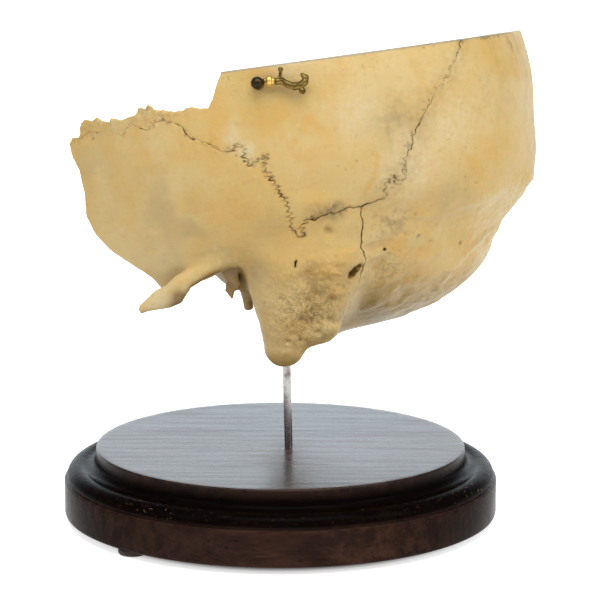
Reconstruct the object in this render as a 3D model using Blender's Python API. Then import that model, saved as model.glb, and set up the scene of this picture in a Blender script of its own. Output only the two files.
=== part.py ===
"""The left rear quarter of a human braincase on a turned wooden stand, as a still museum specimen.

The three bones are shaped as distance fields, in millimetres in the skull's own frame: X towards the back
of the head, Y from the left side to the midline, Z up, with the origin between the two ear openings. The
fields are meshed once, sawn with Boolean modifiers and parted along the sutures. The stand, the rod and the
brass hook are modelled in metres from the same named sizes.
"""

import math

import bmesh
import bpy
import numpy as np
import openvdb
from mathutils import Matrix, Vector

MM = 0.001
GAP = 0.3 * MM

# Stand, in millimetres: a round base with a stepped and moulded edge, three pads and a steel rod.
BASE_RADIUS = 63.5
BASE_STEP_HEIGHT = 10.7
BASE_TOP_HEIGHT = 19.8
BASE_TOP_RADIUS = 54.1
TORUS_CENTRE = (59.3, 11.3)
TORUS_RADIUS = 3.4
COVE_HEIGHT = 16.4
COVE_RADIUS = 2.2
COVE_STEP = 0.3
BASE_BEVEL = 0.4
BASE_SIDES = 72
PAD_RADIUS = 4.25
PAD_HEIGHT = 2.0
PAD_CIRCLE = 58.5
PAD_ANGLES = (-135.0, -5.0, 115.0)
ROD_RADIUS = 1.2
ROD_FOOT = (2.4, -2.6, BASE_TOP_HEIGHT)
ROD_SINK = 8.0
# How far outside the surface the cutters of the drilled holes start.
HOLE_START = 5.0

# Pose of the skull on the rod: the tip of the mastoid process stands on the rod's upper end.
MASTOID_TIP = (10.0, -52.0, -28.0)
MASTOID_TIP_PLACE = (1.8, -3.0, 43.7)
PITCH = 14.0
ROLL = 3.6
YAW = 12.0

# Braincase, in millimetres in the skull's frame: its radius by the angle about the X-Z centre, 0 at the back.
BRAIN_CENTRE = (0.0, 0.0, 42.0)
HALF_BREADTH = 70.0
FULLNESS = 2.25
FRONT_NARROWING = 0.24
MEDIAN_RADIUS = {
    -180: 95.0, -140: 82.0, -110: 70.0, -88: 69.5, -73: 71.0, -57: 78.7, -48: 83.5, -40: 86.0,
    -33: 85.6, -25: 90.0, -20: 91.9, -10: 91.4, 0: 92.2, 12: 91.2, 30: 82.5, 60: 77.0, 90: 76.0, 140: 85.0,
}
WALL = 5.5
SQUAMA_WALL = 2.2
OCCIPITAL_EXTRA = 1.8
CREST_EXTRA = 3.0

# The saw cut that took the skullcap off falls towards the back.
SAW_FRONT = (13.4, 59.4)
SAW_SLOPE = -0.094
SAW_REACH = 160.0

# Side outline of the thin wall as (x, z): the broken upper fringe, the front edge of the temporal squama and
# its lower end. The wall runs on past the saw cuts, which trim it.
FRINGE = [
    (16.0, 66.0), (14.3, 59.1), (12.3, 55.8), (10.4, 52.2), (8.6, 50.2), (3.7, 51.5), (-0.3, 51.2),
    (-6.6, 53.2), (-8.7, 54.9), (-12.1, 54.5), (-13.1, 52.9), (-18.0, 52.3), (-21.6, 53.4), (-23.5, 52.5),
    (-26.7, 54.9), (-32.6, 54.5), (-33.5, 51.2), (-35.5, 50.2), (-36.7, 50.8), (-38.0, 49.0),
]
SQUAMA_EDGE = [
    (-38.0, 45.0), (-36.7, 41.0), (-36.9, 34.0), (-38.4, 27.5), (-37.1, 21.5), (-32.9, 15.2), (-28.0, 10.8),
    (-23.0, 6.0), (-19.6, 2.0),
]
BASE_EDGE = [(-19.6, -40.0), (104.0, -40.0), (104.0, 66.0)]
# The wall thins towards that outline, from this thickness by this much for each millimetre inwards.
EDGE_WALL = 1.6
EDGE_TAPER = 0.9
# In front of a slanted break, given by its x beside the mastoid and at the middle, the wall ends at this
# arch, as (x, z).
BREAK_ARCH = [(-20.0, 0.5), (-9.4, 1.5), (-3.3, 3.3), (1.0, 4.8), (3.1, 4.7), (5.2, 3.6), (8.7, -1.2)]
BREAK_SIDE = (7.0, -50.0)
BREAK_MIDDLE = (-3.0, -15.0)

# Processes and hollows of the three bones.
PROCESS_STATIONS = [
    # x, y, z, half width, half height
    (9.0, -57.5, 6.6, 2.0, 1.6),
    (0.0, -59.6, 6.2, 3.4, 2.0),
    (-5.0, -61.0, 5.0, 2.8, 2.3),
    (-10.0, -62.6, 3.6, 2.0, 2.7),
    (-13.5, -63.2, 1.2, 1.7, 4.0),
    (-17.0, -63.3, -0.2, 1.4, 3.3),
    (-20.3, -63.0, -0.5, 1.2, 2.9),
    (-24.0, -62.8, -1.5, 1.0, 1.7),
    (-26.6, -62.4, -2.4, 0.9, 1.1),
]
PROCESS_ROOT = ((2, -57, 7.0), (-7, -57.5, 5.6))
EAR_MOUTH = (3.4, -53.5, 1.0)
EAR_TUBE = (2.2, -0.5)
EAR_TUBE_RADIUS = 3.4
EAR_BORE_RADIUS = 1.5
# The thin plate that hangs in front of the ear opening, as (x, z), and its middle and half thickness in y.
EAR_PLATE = [(-1.4, 5.0), (-2.2, -2.4), (-1.1, -5.4), (0.6, -3.6), (2.4, -2.6), (3.2, 5.0)]
EAR_PLATE_SIDE = (-54.2, 1.0)
STYLOID_STUMP = ((3.0, -48.2, -2.0), (1.6, -48.2, -9.0))
STYLOID_RADII = (2.1, 1.2)
FORAMEN_CENTRE = (21.0, 0.0)
FORAMEN_HALF = (18.0, 15.0)
FORAMEN_TOP = -10.0
SINUS_COURSE = [
    (75, 2, 12), (70, -24, 12.5), (58, -38, 12), (45, -47, 11), (33, -49, 6), (27, -44, -3), (20, -37, -9),
]
SINUS_RADIUS = 3.8
FOSSA_FLOOR = [(-20.0, -54.0), (4.0, -54.0), (4.0, -36.0), (-11.0, -25.0), (-13.0, -33.0)]
FOSSA_LEVEL = (5.0, 1.7)

# Sutures, as points of the outer surface in the skull's frame. The cuts run from them towards the middle.
SUTURE_CENTRE = (0.0, 0.0, 30.0)
SQUAMOSAL = [
    (-44, -53, 50.5), (-37, -55, 49), (-33, -57, 49), (-30, -59, 48.5), (-24, -62, 51), (-20, -65, 48.5),
    (-15, -67, 50), (-10, -68, 49.5), (-3, -70, 48.6), (1, -70, 48), (2, -70, 43), (7, -70, 40),
    (11, -70, 37.5), (15, -69, 37), (16, -69, 33), (19, -69, 34.5), (21, -68, 31), (22, -67, 24),
    (24, -66, 18), (24, -64, 12),
]
PARIETOMASTOID = [
    (25, -62, 8.5), (27, -63, 10.5), (28, -64, 13.5), (32, -63, 12), (37, -62, 13.5), (43.5, -59, 13),
]
LAMBDOID = [
    (49, -57, 14), (53, -57, 17), (52, -58, 19.5), (56, -56, 19), (58, -56, 24), (60, -55, 26), (62, -54, 31),
    (66, -52, 33.5), (68, -51, 38), (72, -48, 40), (74, -46, 44), (78, -42, 46), (78, -41, 52), (80, -36, 64),
]
OCCIPITOMASTOID = [
    (43.5, -59, 13), (43, -58, 9), (40, -55, 2), (40, -53, -3), (36, -50, -8), (31, -47, -15), (27, -44, -18),
    (22, -38, -20), (16, -32, -18), (10, -27, -14), (4, -23, -10), (-4, -18, -5), (-14, -12, 2),
]
SUTURE_GAP = 0.3
RIBBON_REACH = (14.0, 112.0)
MITRE_LIMIT = 0.35

# Meshing of the bone field.
GRID_LOW = (-46.0, -80.0, -36.0)
GRID_HIGH = (100.0, 8.0, 70.0)
GRID_STEP = 1.0
BONE_TRIANGLES = 6400

# Brass hook, in millimetres on the bone's surface: along it, up it and out from it.
HOOK_PIN = (24.0, -66.8, 53.3)
HOOK_TOWARDS = (36.0, -64.9, 50.7)
HOOK_HEIGHT = 1.95
EYE_RADIUS = 1.75
EYE_BORE = 1.0
EYE_HEIGHTS = (0.3, 1.5)
SHANK_RADIUS = 0.7
SHANK_DEPTH = 4.0
HEAD_RADIUS = 1.85
HEAD_UNDERSIDE = 1.8
HEAD_CENTRE = 3.28
HOOK_PATH = [
    # along, up, radius
    (0.9, 0.2, 0.7), (2.0, 0.5, 0.9), (2.7, 0.7, 1.55), (3.8, 0.7, 1.55), (4.4, 0.6, 0.9), (5.6, 0.5, 0.9),
    (6.9, 0.6, 0.95), (8.6, -0.5, 1.0), (10.3, -1.0, 1.1), (12.0, -0.8, 1.1), (13.3, 0.2, 1.0),
    (13.6, 1.4, 0.85), (12.7, 2.2, 0.7),
]
HOOK_KNOBS = [((6.2, 0.5), (6.5, 3.9), 0.5, 0.78), ((12.3, -0.8), (12.6, -2.3), 0.6, 1.05)]


def smooth_ramp(low, high, value):
    """0 at low, 1 at high, with level ends."""
    share = np.clip((value - low) / (high - low), 0, 1)
    return share * share * (3 - 2 * share)


def joined(a, b, reach):
    """The union of two fields, filleted over about this reach."""
    share = np.clip(0.5 + 0.5 * (b - a) / reach, 0, 1)
    return b * (1 - share) + a * share - reach * share * (1 - share)


def kept_inside(a, b, reach):
    """What two fields share, with its edge rounded over this reach."""
    return -joined(-a, -b, reach)


def carved(a, b, reach):
    """The first field with the second taken out."""
    return -joined(-a, b, reach)


def limb(points, start, end, start_radius, end_radius, flat=(1.0, 1.0, 1.0)):
    """A tapered round-ended limb, narrowed along X, Y or Z by a factor under 1."""
    flat = np.array(flat)
    start, end = np.array(start) / flat, np.array(end) / flat
    offset = points / flat - start
    axis = end - start
    share = np.clip(offset @ axis / (axis @ axis), 0, 1)
    distance = np.linalg.norm(offset - share[..., None] * axis, axis=-1)
    return (distance - start_radius - (end_radius - start_radius) * share) * flat.min()


def polygon_field(u, v, corners):
    """Signed distance to a closed polygon, negative inside."""
    nearest = np.full(u.shape, np.inf)
    inside = np.zeros(u.shape, bool)
    for (u0, v0), (u1, v1) in zip(corners, corners[1:] + corners[:1]):
        du, dv = u1 - u0, v1 - v0
        share = np.clip(((u - u0) * du + (v - v0) * dv) / (du * du + dv * dv), 0, 1)
        nearest = np.minimum(nearest, np.hypot(u - u0 - share * du, v - v0 - share * dv))
        if dv:
            crosses = (v0 > v) != (v1 > v)
            inside ^= crosses & (u < u0 + (v - v0) * du / dv)
    return np.where(inside, -nearest, nearest)


def median_radius(angle):
    """The braincase's radius at an angle in degrees, as a smooth curve through MEDIAN_RADIUS."""
    keys = np.array(sorted(MEDIAN_RADIUS), float)
    values = np.array([MEDIAN_RADIUS[key] for key in sorted(MEDIAN_RADIUS)])
    keys = np.concatenate([keys[-2:] - 360, keys, keys[:3] + 360])
    values = np.concatenate([values[-2:], values, values[:3]])
    slopes = np.gradient(values, keys)
    i = np.clip(np.searchsorted(keys, angle, side="right") - 1, 0, len(keys) - 2)
    width = keys[i + 1] - keys[i]
    t = (angle - keys[i]) / width
    rise = values[i + 1] - values[i]
    return (
        values[i] + rise * t * t * (3 - 2 * t)
        + width * t * (1 - t) * (slopes[i] * (1 - t) - slopes[i + 1] * t)
    )


def braincase(points):
    """The outer surface of the braincase, a superellipsoid whose median section is MEDIAN_RADIUS."""
    offset = points - np.array(BRAIN_CENTRE)
    x, y, z = offset[..., 0], offset[..., 1], offset[..., 2]
    reach = median_radius(np.degrees(np.arctan2(z, x)))
    breadth = HALF_BREADTH * (1 - FRONT_NARROWING * smooth_ramp(0, 60, -x))
    size = (np.abs(y / breadth) ** FULLNESS + (np.hypot(x, z) / reach) ** FULLNESS) ** (1 / FULLNESS)
    return np.linalg.norm(offset, axis=-1) * (1 - 1 / np.maximum(size, 1e-6))


def wall_thickness(points):
    x, y = points[..., 0], points[..., 1]
    squama = smooth_ramp(20, 2, x) * smooth_ramp(-40, -50, y)
    occipital = smooth_ramp(45, 75, x)
    crest = np.exp(-((y / 9) ** 2)) * smooth_ramp(40, 60, x)
    return WALL + (SQUAMA_WALL - WALL) * squama + OCCIPITAL_EXTRA * occipital + CREST_EXTRA * crest


def thin_wall(points):
    """The shell of the braincase inside its side outline, thinner towards that outline."""
    outer = braincase(points)
    x, y, z = points[..., 0], points[..., 1], points[..., 2]
    outline = polygon_field(x, z, FRINGE + SQUAMA_EDGE + BASE_EDGE)
    thickness = np.minimum(wall_thickness(points), EDGE_WALL + EDGE_TAPER * np.maximum(-outline, 0))
    shell = kept_inside(outer, -outer - thickness, 0.6)
    shell = kept_inside(shell, outline, 0.6)
    broken_x = np.interp(y, (BREAK_SIDE[1], BREAK_MIDDLE[1]), (BREAK_SIDE[0], BREAK_MIDDLE[0]))
    arch = np.interp(x, *zip(*BREAK_ARCH))
    return kept_inside(shell, np.minimum(arch - z, broken_x - x), 1.0)


def zygomatic_process(points):
    """The process over the ear, an ellipse swept through PROCESS_STATIONS."""
    x, y, z = points[..., 0], points[..., 1], points[..., 2]
    stations = np.array(PROCESS_STATIONS[::-1])
    centre_y, centre_z, half_y, half_z = (np.interp(x, stations[:, 0], stations[:, i]) for i in range(1, 5))
    size = np.hypot((y - centre_y) / half_y, (z - centre_z) / half_z)
    sweep = (size - 1) * np.minimum(half_y, half_z)
    ends = np.maximum(stations[0, 0] - x, x - stations[-1, 0])
    shelf = limb(points, *PROCESS_ROOT, 3.6, 2.6, (1, 1, 0.7))
    return joined(kept_inside(sweep, ends, 0.8), shelf, 2.0)


def mastoid(points):
    cone = limb(points, (16.8, -50.5, 2), (10.7, -52, -22.3), 12.3, 5.9)
    rear = limb(points, (28, -49, 0), (24, -49.5, -18.0), 11.5, 4.4)
    web = limb(points, (13, -51.5, -20), (22, -50, -19.5), 4.6, 4.4)
    notch = limb(points, (30, -41, -22), (13, -42.5, -19), 3.0, 2.6)
    return carved(joined(joined(cone, rear, 3.0), web, 2.0), notch, 2.0)


def petrous_part(points):
    outer_half = limb(points, (12, -45, 1.5), (-2, -31, 3.5), 10.5, 7.4)
    apex = limb(points, (-2, -31, 3.5), (-13, -22, 7), 7.4, 4.6)
    u, v = points[..., 0], points[..., 1]
    level, half = FOSSA_LEVEL
    floor = kept_inside(polygon_field(u, v, FOSSA_FLOOR), np.abs(points[..., 2] - level) - half, 1.0)
    return joined(joined(outer_half, apex, 2.0), floor, 3.0)


def ear_parts(points):
    """The bony tube of the ear behind its hanging plate, and the stump of the styloid process."""
    x, z = EAR_TUBE
    tube = limb(points, (x, -49, z), (x, -38, z + 2), EAR_TUBE_RADIUS, EAR_TUBE_RADIUS)
    side, half = EAR_PLATE_SIDE
    outline = polygon_field(points[..., 0], points[..., 2], EAR_PLATE)
    plate = kept_inside(outline, np.abs(points[..., 1] - side) - half, 0.8)
    bridge = limb(points, (0.3, -54.0, 2.5), (1.0, -48, 1.5), 1.6, 2.6)
    stump = limb(points, *STYLOID_STUMP, *STYLOID_RADII)
    return joined(joined(joined(tube, plate, 0.8), bridge, 1.5), stump, 1.2)


def occipital_base(points):
    """The condyle and the process beside it, under the floor of the braincase."""
    condyle = limb(points, (4, -16.5, -21), (15, -19.5, -21.5), 4.2, 3.6, (1, 1, 0.9))
    jugular_process = limb(points, (17, -30, -15), (26, -41, -11), 5.5, 6.5)
    return joined(condyle, jugular_process, 4.0)


def foramina(points):
    """All the openings that are carved out of the joined bone."""
    x, y, z = points[..., 0], points[..., 1], points[..., 2]
    half_x, half_y = FORAMEN_HALF
    size = np.hypot((x - FORAMEN_CENTRE[0]) / half_x, (y - FORAMEN_CENTRE[1]) / half_y)
    magnum = np.maximum((size - 1) * half_y, z - FORAMEN_TOP)
    canal_end = (EAR_TUBE[0], -42, EAR_TUBE[1] + 1.5)
    canal = limb(points, EAR_MOUTH, canal_end, EAR_BORE_RADIUS, EAR_BORE_RADIUS)
    jugular = limb(points, (4, -28, -24), (6, -27, -6), 4.2, 4.2)
    meatus = limb(points, (2, -22, 6), (4, -31, 6), 2.4, 1.8)
    return np.minimum(np.minimum(magnum, canal), np.minimum(jugular, meatus))


def sinus_groove(points):
    """The groove of the transverse and sigmoid sinuses on the inner face."""
    field = np.full(points.shape[:-1], np.inf)
    for start, end in zip(SINUS_COURSE, SINUS_COURSE[1:]):
        field = np.minimum(field, limb(points, start, end, SINUS_RADIUS, SINUS_RADIUS))
    return field


def skull_field(points):
    bone = thin_wall(points)
    bone = joined(bone, mastoid(points), 5.0)
    bone = joined(bone, petrous_part(points), 4.0)
    bone = joined(bone, occipital_base(points), 5.0)
    bone = carved(bone, sinus_groove(points), 2.0)
    bone = joined(bone, zygomatic_process(points), 2.4)
    bone = joined(bone, ear_parts(points), 1.2)
    return carved(bone, foramina(points), 1.0)


def material(name, colour, roughness, metallic=0.0):
    mat = bpy.data.materials.new(name)
    mat.use_nodes = True
    shader = mat.node_tree.nodes["Principled BSDF"]
    shader.inputs["Base Color"].default_value = (*colour, 1.0)
    shader.inputs["Roughness"].default_value = roughness
    shader.inputs["Metallic"].default_value = metallic
    mat.diffuse_color = (*colour, 1.0)
    return mat


def add_object(name, mesh, mat=None):
    obj = bpy.data.objects.new(name, mesh)
    bpy.context.scene.collection.objects.link(obj)
    if mat:
        mesh.materials.append(mat)
    return obj


def mesh_from_bmesh(name, bm):
    bmesh.ops.recalc_face_normals(bm, faces=bm.faces)
    mesh = bpy.data.meshes.new(name)
    bm.to_mesh(mesh)
    bm.free()
    return mesh


def field_mesh(name):
    """Meshes the bone field on a regular grid."""
    axes = [np.arange(low, high, GRID_STEP) for low, high in zip(GRID_LOW, GRID_HIGH)]
    points = np.stack(np.meshgrid(*axes, indexing="ij"), -1)
    grid = openvdb.FloatGrid(3 * GRID_STEP)
    grid.copyFromArray(np.clip(skull_field(points), -3, 3).astype(np.float32))
    corners, quads = grid.convertToQuads(0)
    bm = bmesh.new()
    low = Vector(GRID_LOW)
    verts = [bm.verts.new(MM * (low + GRID_STEP * Vector(corner))) for corner in corners.tolist()]
    for quad in quads.tolist():
        bm.faces.new([verts[i] for i in quad])
    return mesh_from_bmesh(name, bm)


def box_mesh(name, low, high):
    bm = bmesh.new()
    bmesh.ops.create_cube(bm, size=1.0)
    size = Vector(high) - Vector(low)
    middle = Matrix.Translation((Vector(low) + Vector(high)) / 2 * MM)
    bmesh.ops.transform(bm, verts=bm.verts, matrix=middle @ Matrix.Diagonal((*(size * MM), 1.0)))
    return mesh_from_bmesh(name, bm)


def cylinder_mesh(name, start, end, radius, sides=24):
    """A closed cylinder between two points, in metres."""
    axis = Vector(end) - Vector(start)
    bm = bmesh.new()
    bmesh.ops.create_cone(
        bm, cap_ends=True, segments=sides, radius1=radius, radius2=radius, depth=axis.length
    )
    turn = axis.to_track_quat("Z", "Y").to_matrix().to_4x4()
    middle = Matrix.Translation((Vector(start) + Vector(end)) / 2)
    bmesh.ops.transform(bm, verts=bm.verts, matrix=middle @ turn)
    return mesh_from_bmesh(name, bm)


def ribbon_mesh(name, course):
    """A thin wall that stands on a suture and runs in towards SUTURE_CENTRE, to saw along it."""
    centre = Vector(SUTURE_CENTRE)
    rays = [(Vector(point) - centre).normalized() for point in course]
    bm = bmesh.new()
    rings = []
    for i, ray in enumerate(rays):
        before = rays[max(i - 1, 0)]
        after = rays[min(i + 1, len(rays) - 1)]
        runs = [b - a for a, b in ((before, ray), (ray, after)) if (b - a).length > 0]
        sides = [run.cross(ray).normalized() for run in runs]
        side = sum(sides, Vector()).normalized()
        side *= SUTURE_GAP / 2 / max(side.dot(sides[0]), MITRE_LIMIT)
        ends = [centre + ray * reach for reach in RIBBON_REACH]
        rings.append([bm.verts.new(MM * (end + sign * side)) for end, sign in zip(ends * 2, (1, 1, -1, -1))])
    for a, b in zip(rings, rings[1:]):
        for i, j in ((0, 1), (1, 3), (3, 2), (2, 0)):
            bm.faces.new((a[i], a[j], b[j], b[i]))
    for ring in (rings[0], rings[-1]):
        bm.faces.new((ring[0], ring[1], ring[3], ring[2]))
    return mesh_from_bmesh(name, bm)


def cut(obj, cutter_mesh):
    """Takes a closed mesh out of an object for good."""
    cutter = add_object(cutter_mesh.name, cutter_mesh)
    cutter.hide_render = True
    cutter.display_type = "WIRE"
    boolean = obj.modifiers.new("Cut", "BOOLEAN")
    boolean.operation = "DIFFERENCE"
    boolean.solver = "EXACT"
    boolean.object = cutter
    bake(obj)
    bpy.data.objects.remove(cutter)


def bake(obj):
    """Applies all modifiers."""
    depsgraph = bpy.context.evaluated_depsgraph_get()
    mesh = bpy.data.meshes.new_from_object(obj.evaluated_get(depsgraph))
    obj.modifiers.clear()
    obj.data = mesh


def islands(obj):
    """The closed surfaces of an object as new meshes, largest first."""
    bm = bmesh.new()
    bm.from_mesh(obj.data)
    left = set(bm.verts)
    groups = []
    while left:
        group, edge = set(), {left.pop()}
        while edge:
            group |= edge
            edge = {e.other_vert(v) for v in edge for e in v.link_edges} - group
        left -= group
        groups.append({v.index for v in group})
    groups.sort(key=len, reverse=True)
    meshes = []
    for group in groups:
        piece = bm.copy()
        bmesh.ops.delete(piece, geom=[v for v in piece.verts if v.index not in group], context="VERTS")
        meshes.append(mesh_from_bmesh("piece", piece))
    bm.free()
    return meshes


def mean_place(mesh):
    return sum((v.co for v in mesh.vertices), Vector()) / len(mesh.vertices)


def skull_pose():
    turn = (
        Matrix.Rotation(math.radians(-YAW), 3, "Z")
        @ Matrix.Rotation(math.radians(-ROLL), 3, "X")
        @ Matrix.Rotation(math.radians(-PITCH), 3, "Y")
    )
    place = Vector(MASTOID_TIP_PLACE) - turn @ Vector(MASTOID_TIP)
    return Matrix.Translation(place * MM) @ turn.to_4x4()


def add_bones(pose, mat):
    skull = add_object("skull_whole", field_mesh("skull_whole"))
    decimate = skull.modifiers.new("Decimate", "DECIMATE")
    decimate.ratio = BONE_TRIANGLES / (2 * len(skull.data.polygons))
    bake(skull)
    tilt = math.atan(SAW_SLOPE)
    cap = box_mesh("saw_cut_cap", (-SAW_REACH, -SAW_REACH, 0), (SAW_REACH, SAW_REACH, SAW_REACH))
    cap_place = Matrix.Translation((SAW_FRONT[0] * MM, 0, SAW_FRONT[1] * MM))
    cap.transform(cap_place @ Matrix.Rotation(-tilt, 4, "Y"))
    cut(skull, cap)
    cut(skull, box_mesh("saw_cut_midline", (-SAW_REACH, 0, -SAW_REACH), (SAW_REACH, SAW_REACH, SAW_REACH)))
    cut(skull, ribbon_mesh("suture_parietal", SQUAMOSAL + PARIETOMASTOID + LAMBDOID))
    cut(skull, ribbon_mesh("suture_occipitomastoid", OCCIPITOMASTOID))
    rod_axis = (Vector(MASTOID_TIP_PLACE) - Vector(ROD_FOOT)).normalized()
    hole_start = Vector(MASTOID_TIP_PLACE) - rod_axis * HOLE_START
    hole_end = Vector(MASTOID_TIP_PLACE) + rod_axis * (ROD_SINK + GAP / MM)
    socket = cylinder_mesh("rod_socket", hole_start * MM, hole_end * MM, ROD_RADIUS * MM + GAP)
    socket.transform(pose.inverted())
    cut(skull, socket)
    pin = hook_frame()
    screw_hole_end = (0, 0, -SHANK_DEPTH * MM - GAP)
    screw_hole = cylinder_mesh("screw_hole", screw_hole_end, (0, 0, HOLE_START * MM), EYE_BORE * MM)
    screw_hole.transform(pin)
    cut(skull, screw_hole)
    pieces = islands(skull)[:3]
    bpy.data.objects.remove(skull)
    pieces.sort(key=lambda mesh: mean_place(mesh).z)
    parietal = pieces.pop()
    temporal, occipital = sorted(pieces, key=lambda mesh: mean_place(mesh).x)
    bones = {"temporal_bone": temporal, "parietal_bone": parietal, "occipital_bone": occipital}
    for name, mesh in bones.items():
        bone = add_object(name, mesh, mat)
        bone.matrix_world = pose


def hook_frame():
    """The hook's own frame in the skull's: X along the bone from the screw, Z out of the bone."""
    pin = np.array(HOOK_PIN)
    step = 0.5
    for _ in range(6):
        slope = np.array([
            (braincase(pin + step * axis) - braincase(pin - step * axis)) / (2 * step) for axis in np.eye(3)
        ])
        pin = pin - slope * braincase(pin) / (slope @ slope)
    out = Vector(slope).normalized()
    along = Vector(HOOK_TOWARDS) - Vector(pin)
    along = (along - along.dot(out) * out).normalized()
    up = out.cross(along)
    frame = Matrix((along, up, out)).transposed().to_4x4()
    return Matrix.Translation(Vector(pin) * MM) @ frame


def lathe_profile():
    """The base's outline from the middle of its top to the middle of its underside, in millimetres."""
    bevel = BASE_BEVEL
    rim = [
        (0.0, BASE_TOP_HEIGHT), (BASE_TOP_RADIUS - bevel, BASE_TOP_HEIGHT),
        (BASE_TOP_RADIUS, BASE_TOP_HEIGHT - bevel),
    ]
    cove = [
        (BASE_TOP_RADIUS + COVE_STEP + COVE_RADIUS - COVE_RADIUS * math.cos(math.radians(a)),
         COVE_HEIGHT - COVE_RADIUS * math.sin(math.radians(a)))
        for a in (0, 30, 60, 90)
    ]
    torus = [
        (TORUS_CENTRE[0] + TORUS_RADIUS * math.cos(math.radians(a)),
         TORUS_CENTRE[1] + TORUS_RADIUS * math.sin(math.radians(a)))
        for a in (120, 95, 70, 45, 22, 0)
    ]
    step = [
        (TORUS_CENTRE[0] + TORUS_RADIUS, BASE_STEP_HEIGHT), (BASE_RADIUS - bevel, BASE_STEP_HEIGHT),
        (BASE_RADIUS, BASE_STEP_HEIGHT - bevel), (BASE_RADIUS, bevel), (BASE_RADIUS - bevel, 0.0), (0.0, 0.0),
    ]
    return rim + cove + torus + step


def add_base(mat):
    mesh = bpy.data.meshes.new("base")
    points = [(r * MM, 0.0, z * MM) for r, z in lathe_profile()]
    mesh.from_pydata(points, [(i, i + 1) for i in range(len(points) - 1)], [])
    base = add_object("base", mesh, mat)
    screw = base.modifiers.new("Turned", "SCREW")
    screw.steps = screw.render_steps = BASE_SIDES
    screw.use_merge_vertices = True
    screw.merge_threshold = 0.0001
    bake(base)
    top = Vector(ROD_FOOT) * MM
    axis = (Vector(MASTOID_TIP_PLACE) * MM - top).normalized()
    hole_end = top - axis * (ROD_SINK * MM + GAP)
    cut(base, cylinder_mesh("rod_hole", hole_end, top + axis * HOLE_START * MM, ROD_RADIUS * MM + GAP))


def add_pads(mat):
    for number, angle in enumerate(PAD_ANGLES, 1):
        x = PAD_CIRCLE * math.cos(math.radians(angle)) * MM
        y = PAD_CIRCLE * math.sin(math.radians(angle)) * MM
        mesh = cylinder_mesh(f"pad_{number}", (x, y, -PAD_HEIGHT * MM), (x, y, -GAP), PAD_RADIUS * MM)
        add_object(f"pad_{number}", mesh, mat)


def add_rod(mat):
    foot, tip = Vector(ROD_FOOT) * MM, Vector(MASTOID_TIP_PLACE) * MM
    axis = (tip - foot).normalized()
    sink = ROD_SINK * MM
    add_object("rod", cylinder_mesh("rod", foot - axis * sink, tip + axis * sink, ROD_RADIUS * MM), mat)


def add_screw(frame, mat):
    """The round-headed screw that the hook turns on."""
    shank_top = (0, 0, HEAD_CENTRE * MM)
    shank = cylinder_mesh("hook_screw", (0, 0, -SHANK_DEPTH * MM), shank_top, SHANK_RADIUS * MM)
    bm = bmesh.new()
    bmesh.ops.create_uvsphere(bm, u_segments=20, v_segments=12, radius=HEAD_RADIUS * MM)
    bmesh.ops.translate(bm, verts=bm.verts, vec=(0, 0, HEAD_CENTRE * MM))
    cut_plane = (0, 0, HEAD_UNDERSIDE * MM)
    geom = bm.verts[:] + bm.edges[:] + bm.faces[:]
    cut_off = bmesh.ops.bisect_plane(
        bm, geom=geom, plane_co=cut_plane, plane_no=(0, 0, -1), clear_outer=True
    )
    rim = [part for part in cut_off["geom_cut"] if isinstance(part, bmesh.types.BMEdge)]
    bmesh.ops.contextual_create(bm, geom=rim)
    head = add_object("head", mesh_from_bmesh("head", bm))
    screw = add_object("hook_screw", shank, mat)
    union = screw.modifiers.new("Head", "BOOLEAN")
    union.operation = "UNION"
    union.solver = "EXACT"
    union.object = head
    bake(screw)
    bpy.data.objects.remove(head)
    screw.matrix_world = frame


def ball_mesh(name, centre, radius):
    bm = bmesh.new()
    bmesh.ops.create_uvsphere(bm, u_segments=14, v_segments=8, radius=radius)
    bmesh.ops.translate(bm, verts=bm.verts, vec=centre)
    return mesh_from_bmesh(name, bm)


def tube_mesh(name, path, sides=12):
    """A closed tube through points in metres with a radius at each."""
    bm = bmesh.new()
    rings = []
    for i, (point, radius) in enumerate(path):
        before, after = path[max(i - 1, 0)][0], path[min(i + 1, len(path) - 1)][0]
        turn = (Vector(after) - Vector(before)).to_track_quat("Z", "Y").to_matrix()
        ring = []
        for k in range(sides):
            angle = 2 * math.pi * k / sides
            spoke = turn @ Vector((math.cos(angle), math.sin(angle), 0)) * radius
            ring.append(bm.verts.new(Vector(point) + spoke))
        rings.append(ring)
    for a, b in zip(rings, rings[1:]):
        for k in range(sides):
            bm.faces.new((a[k], a[(k + 1) % sides], b[(k + 1) % sides], b[k]))
    bm.faces.new(rings[0])
    bm.faces.new(rings[-1])
    return mesh_from_bmesh(name, bm)


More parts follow.
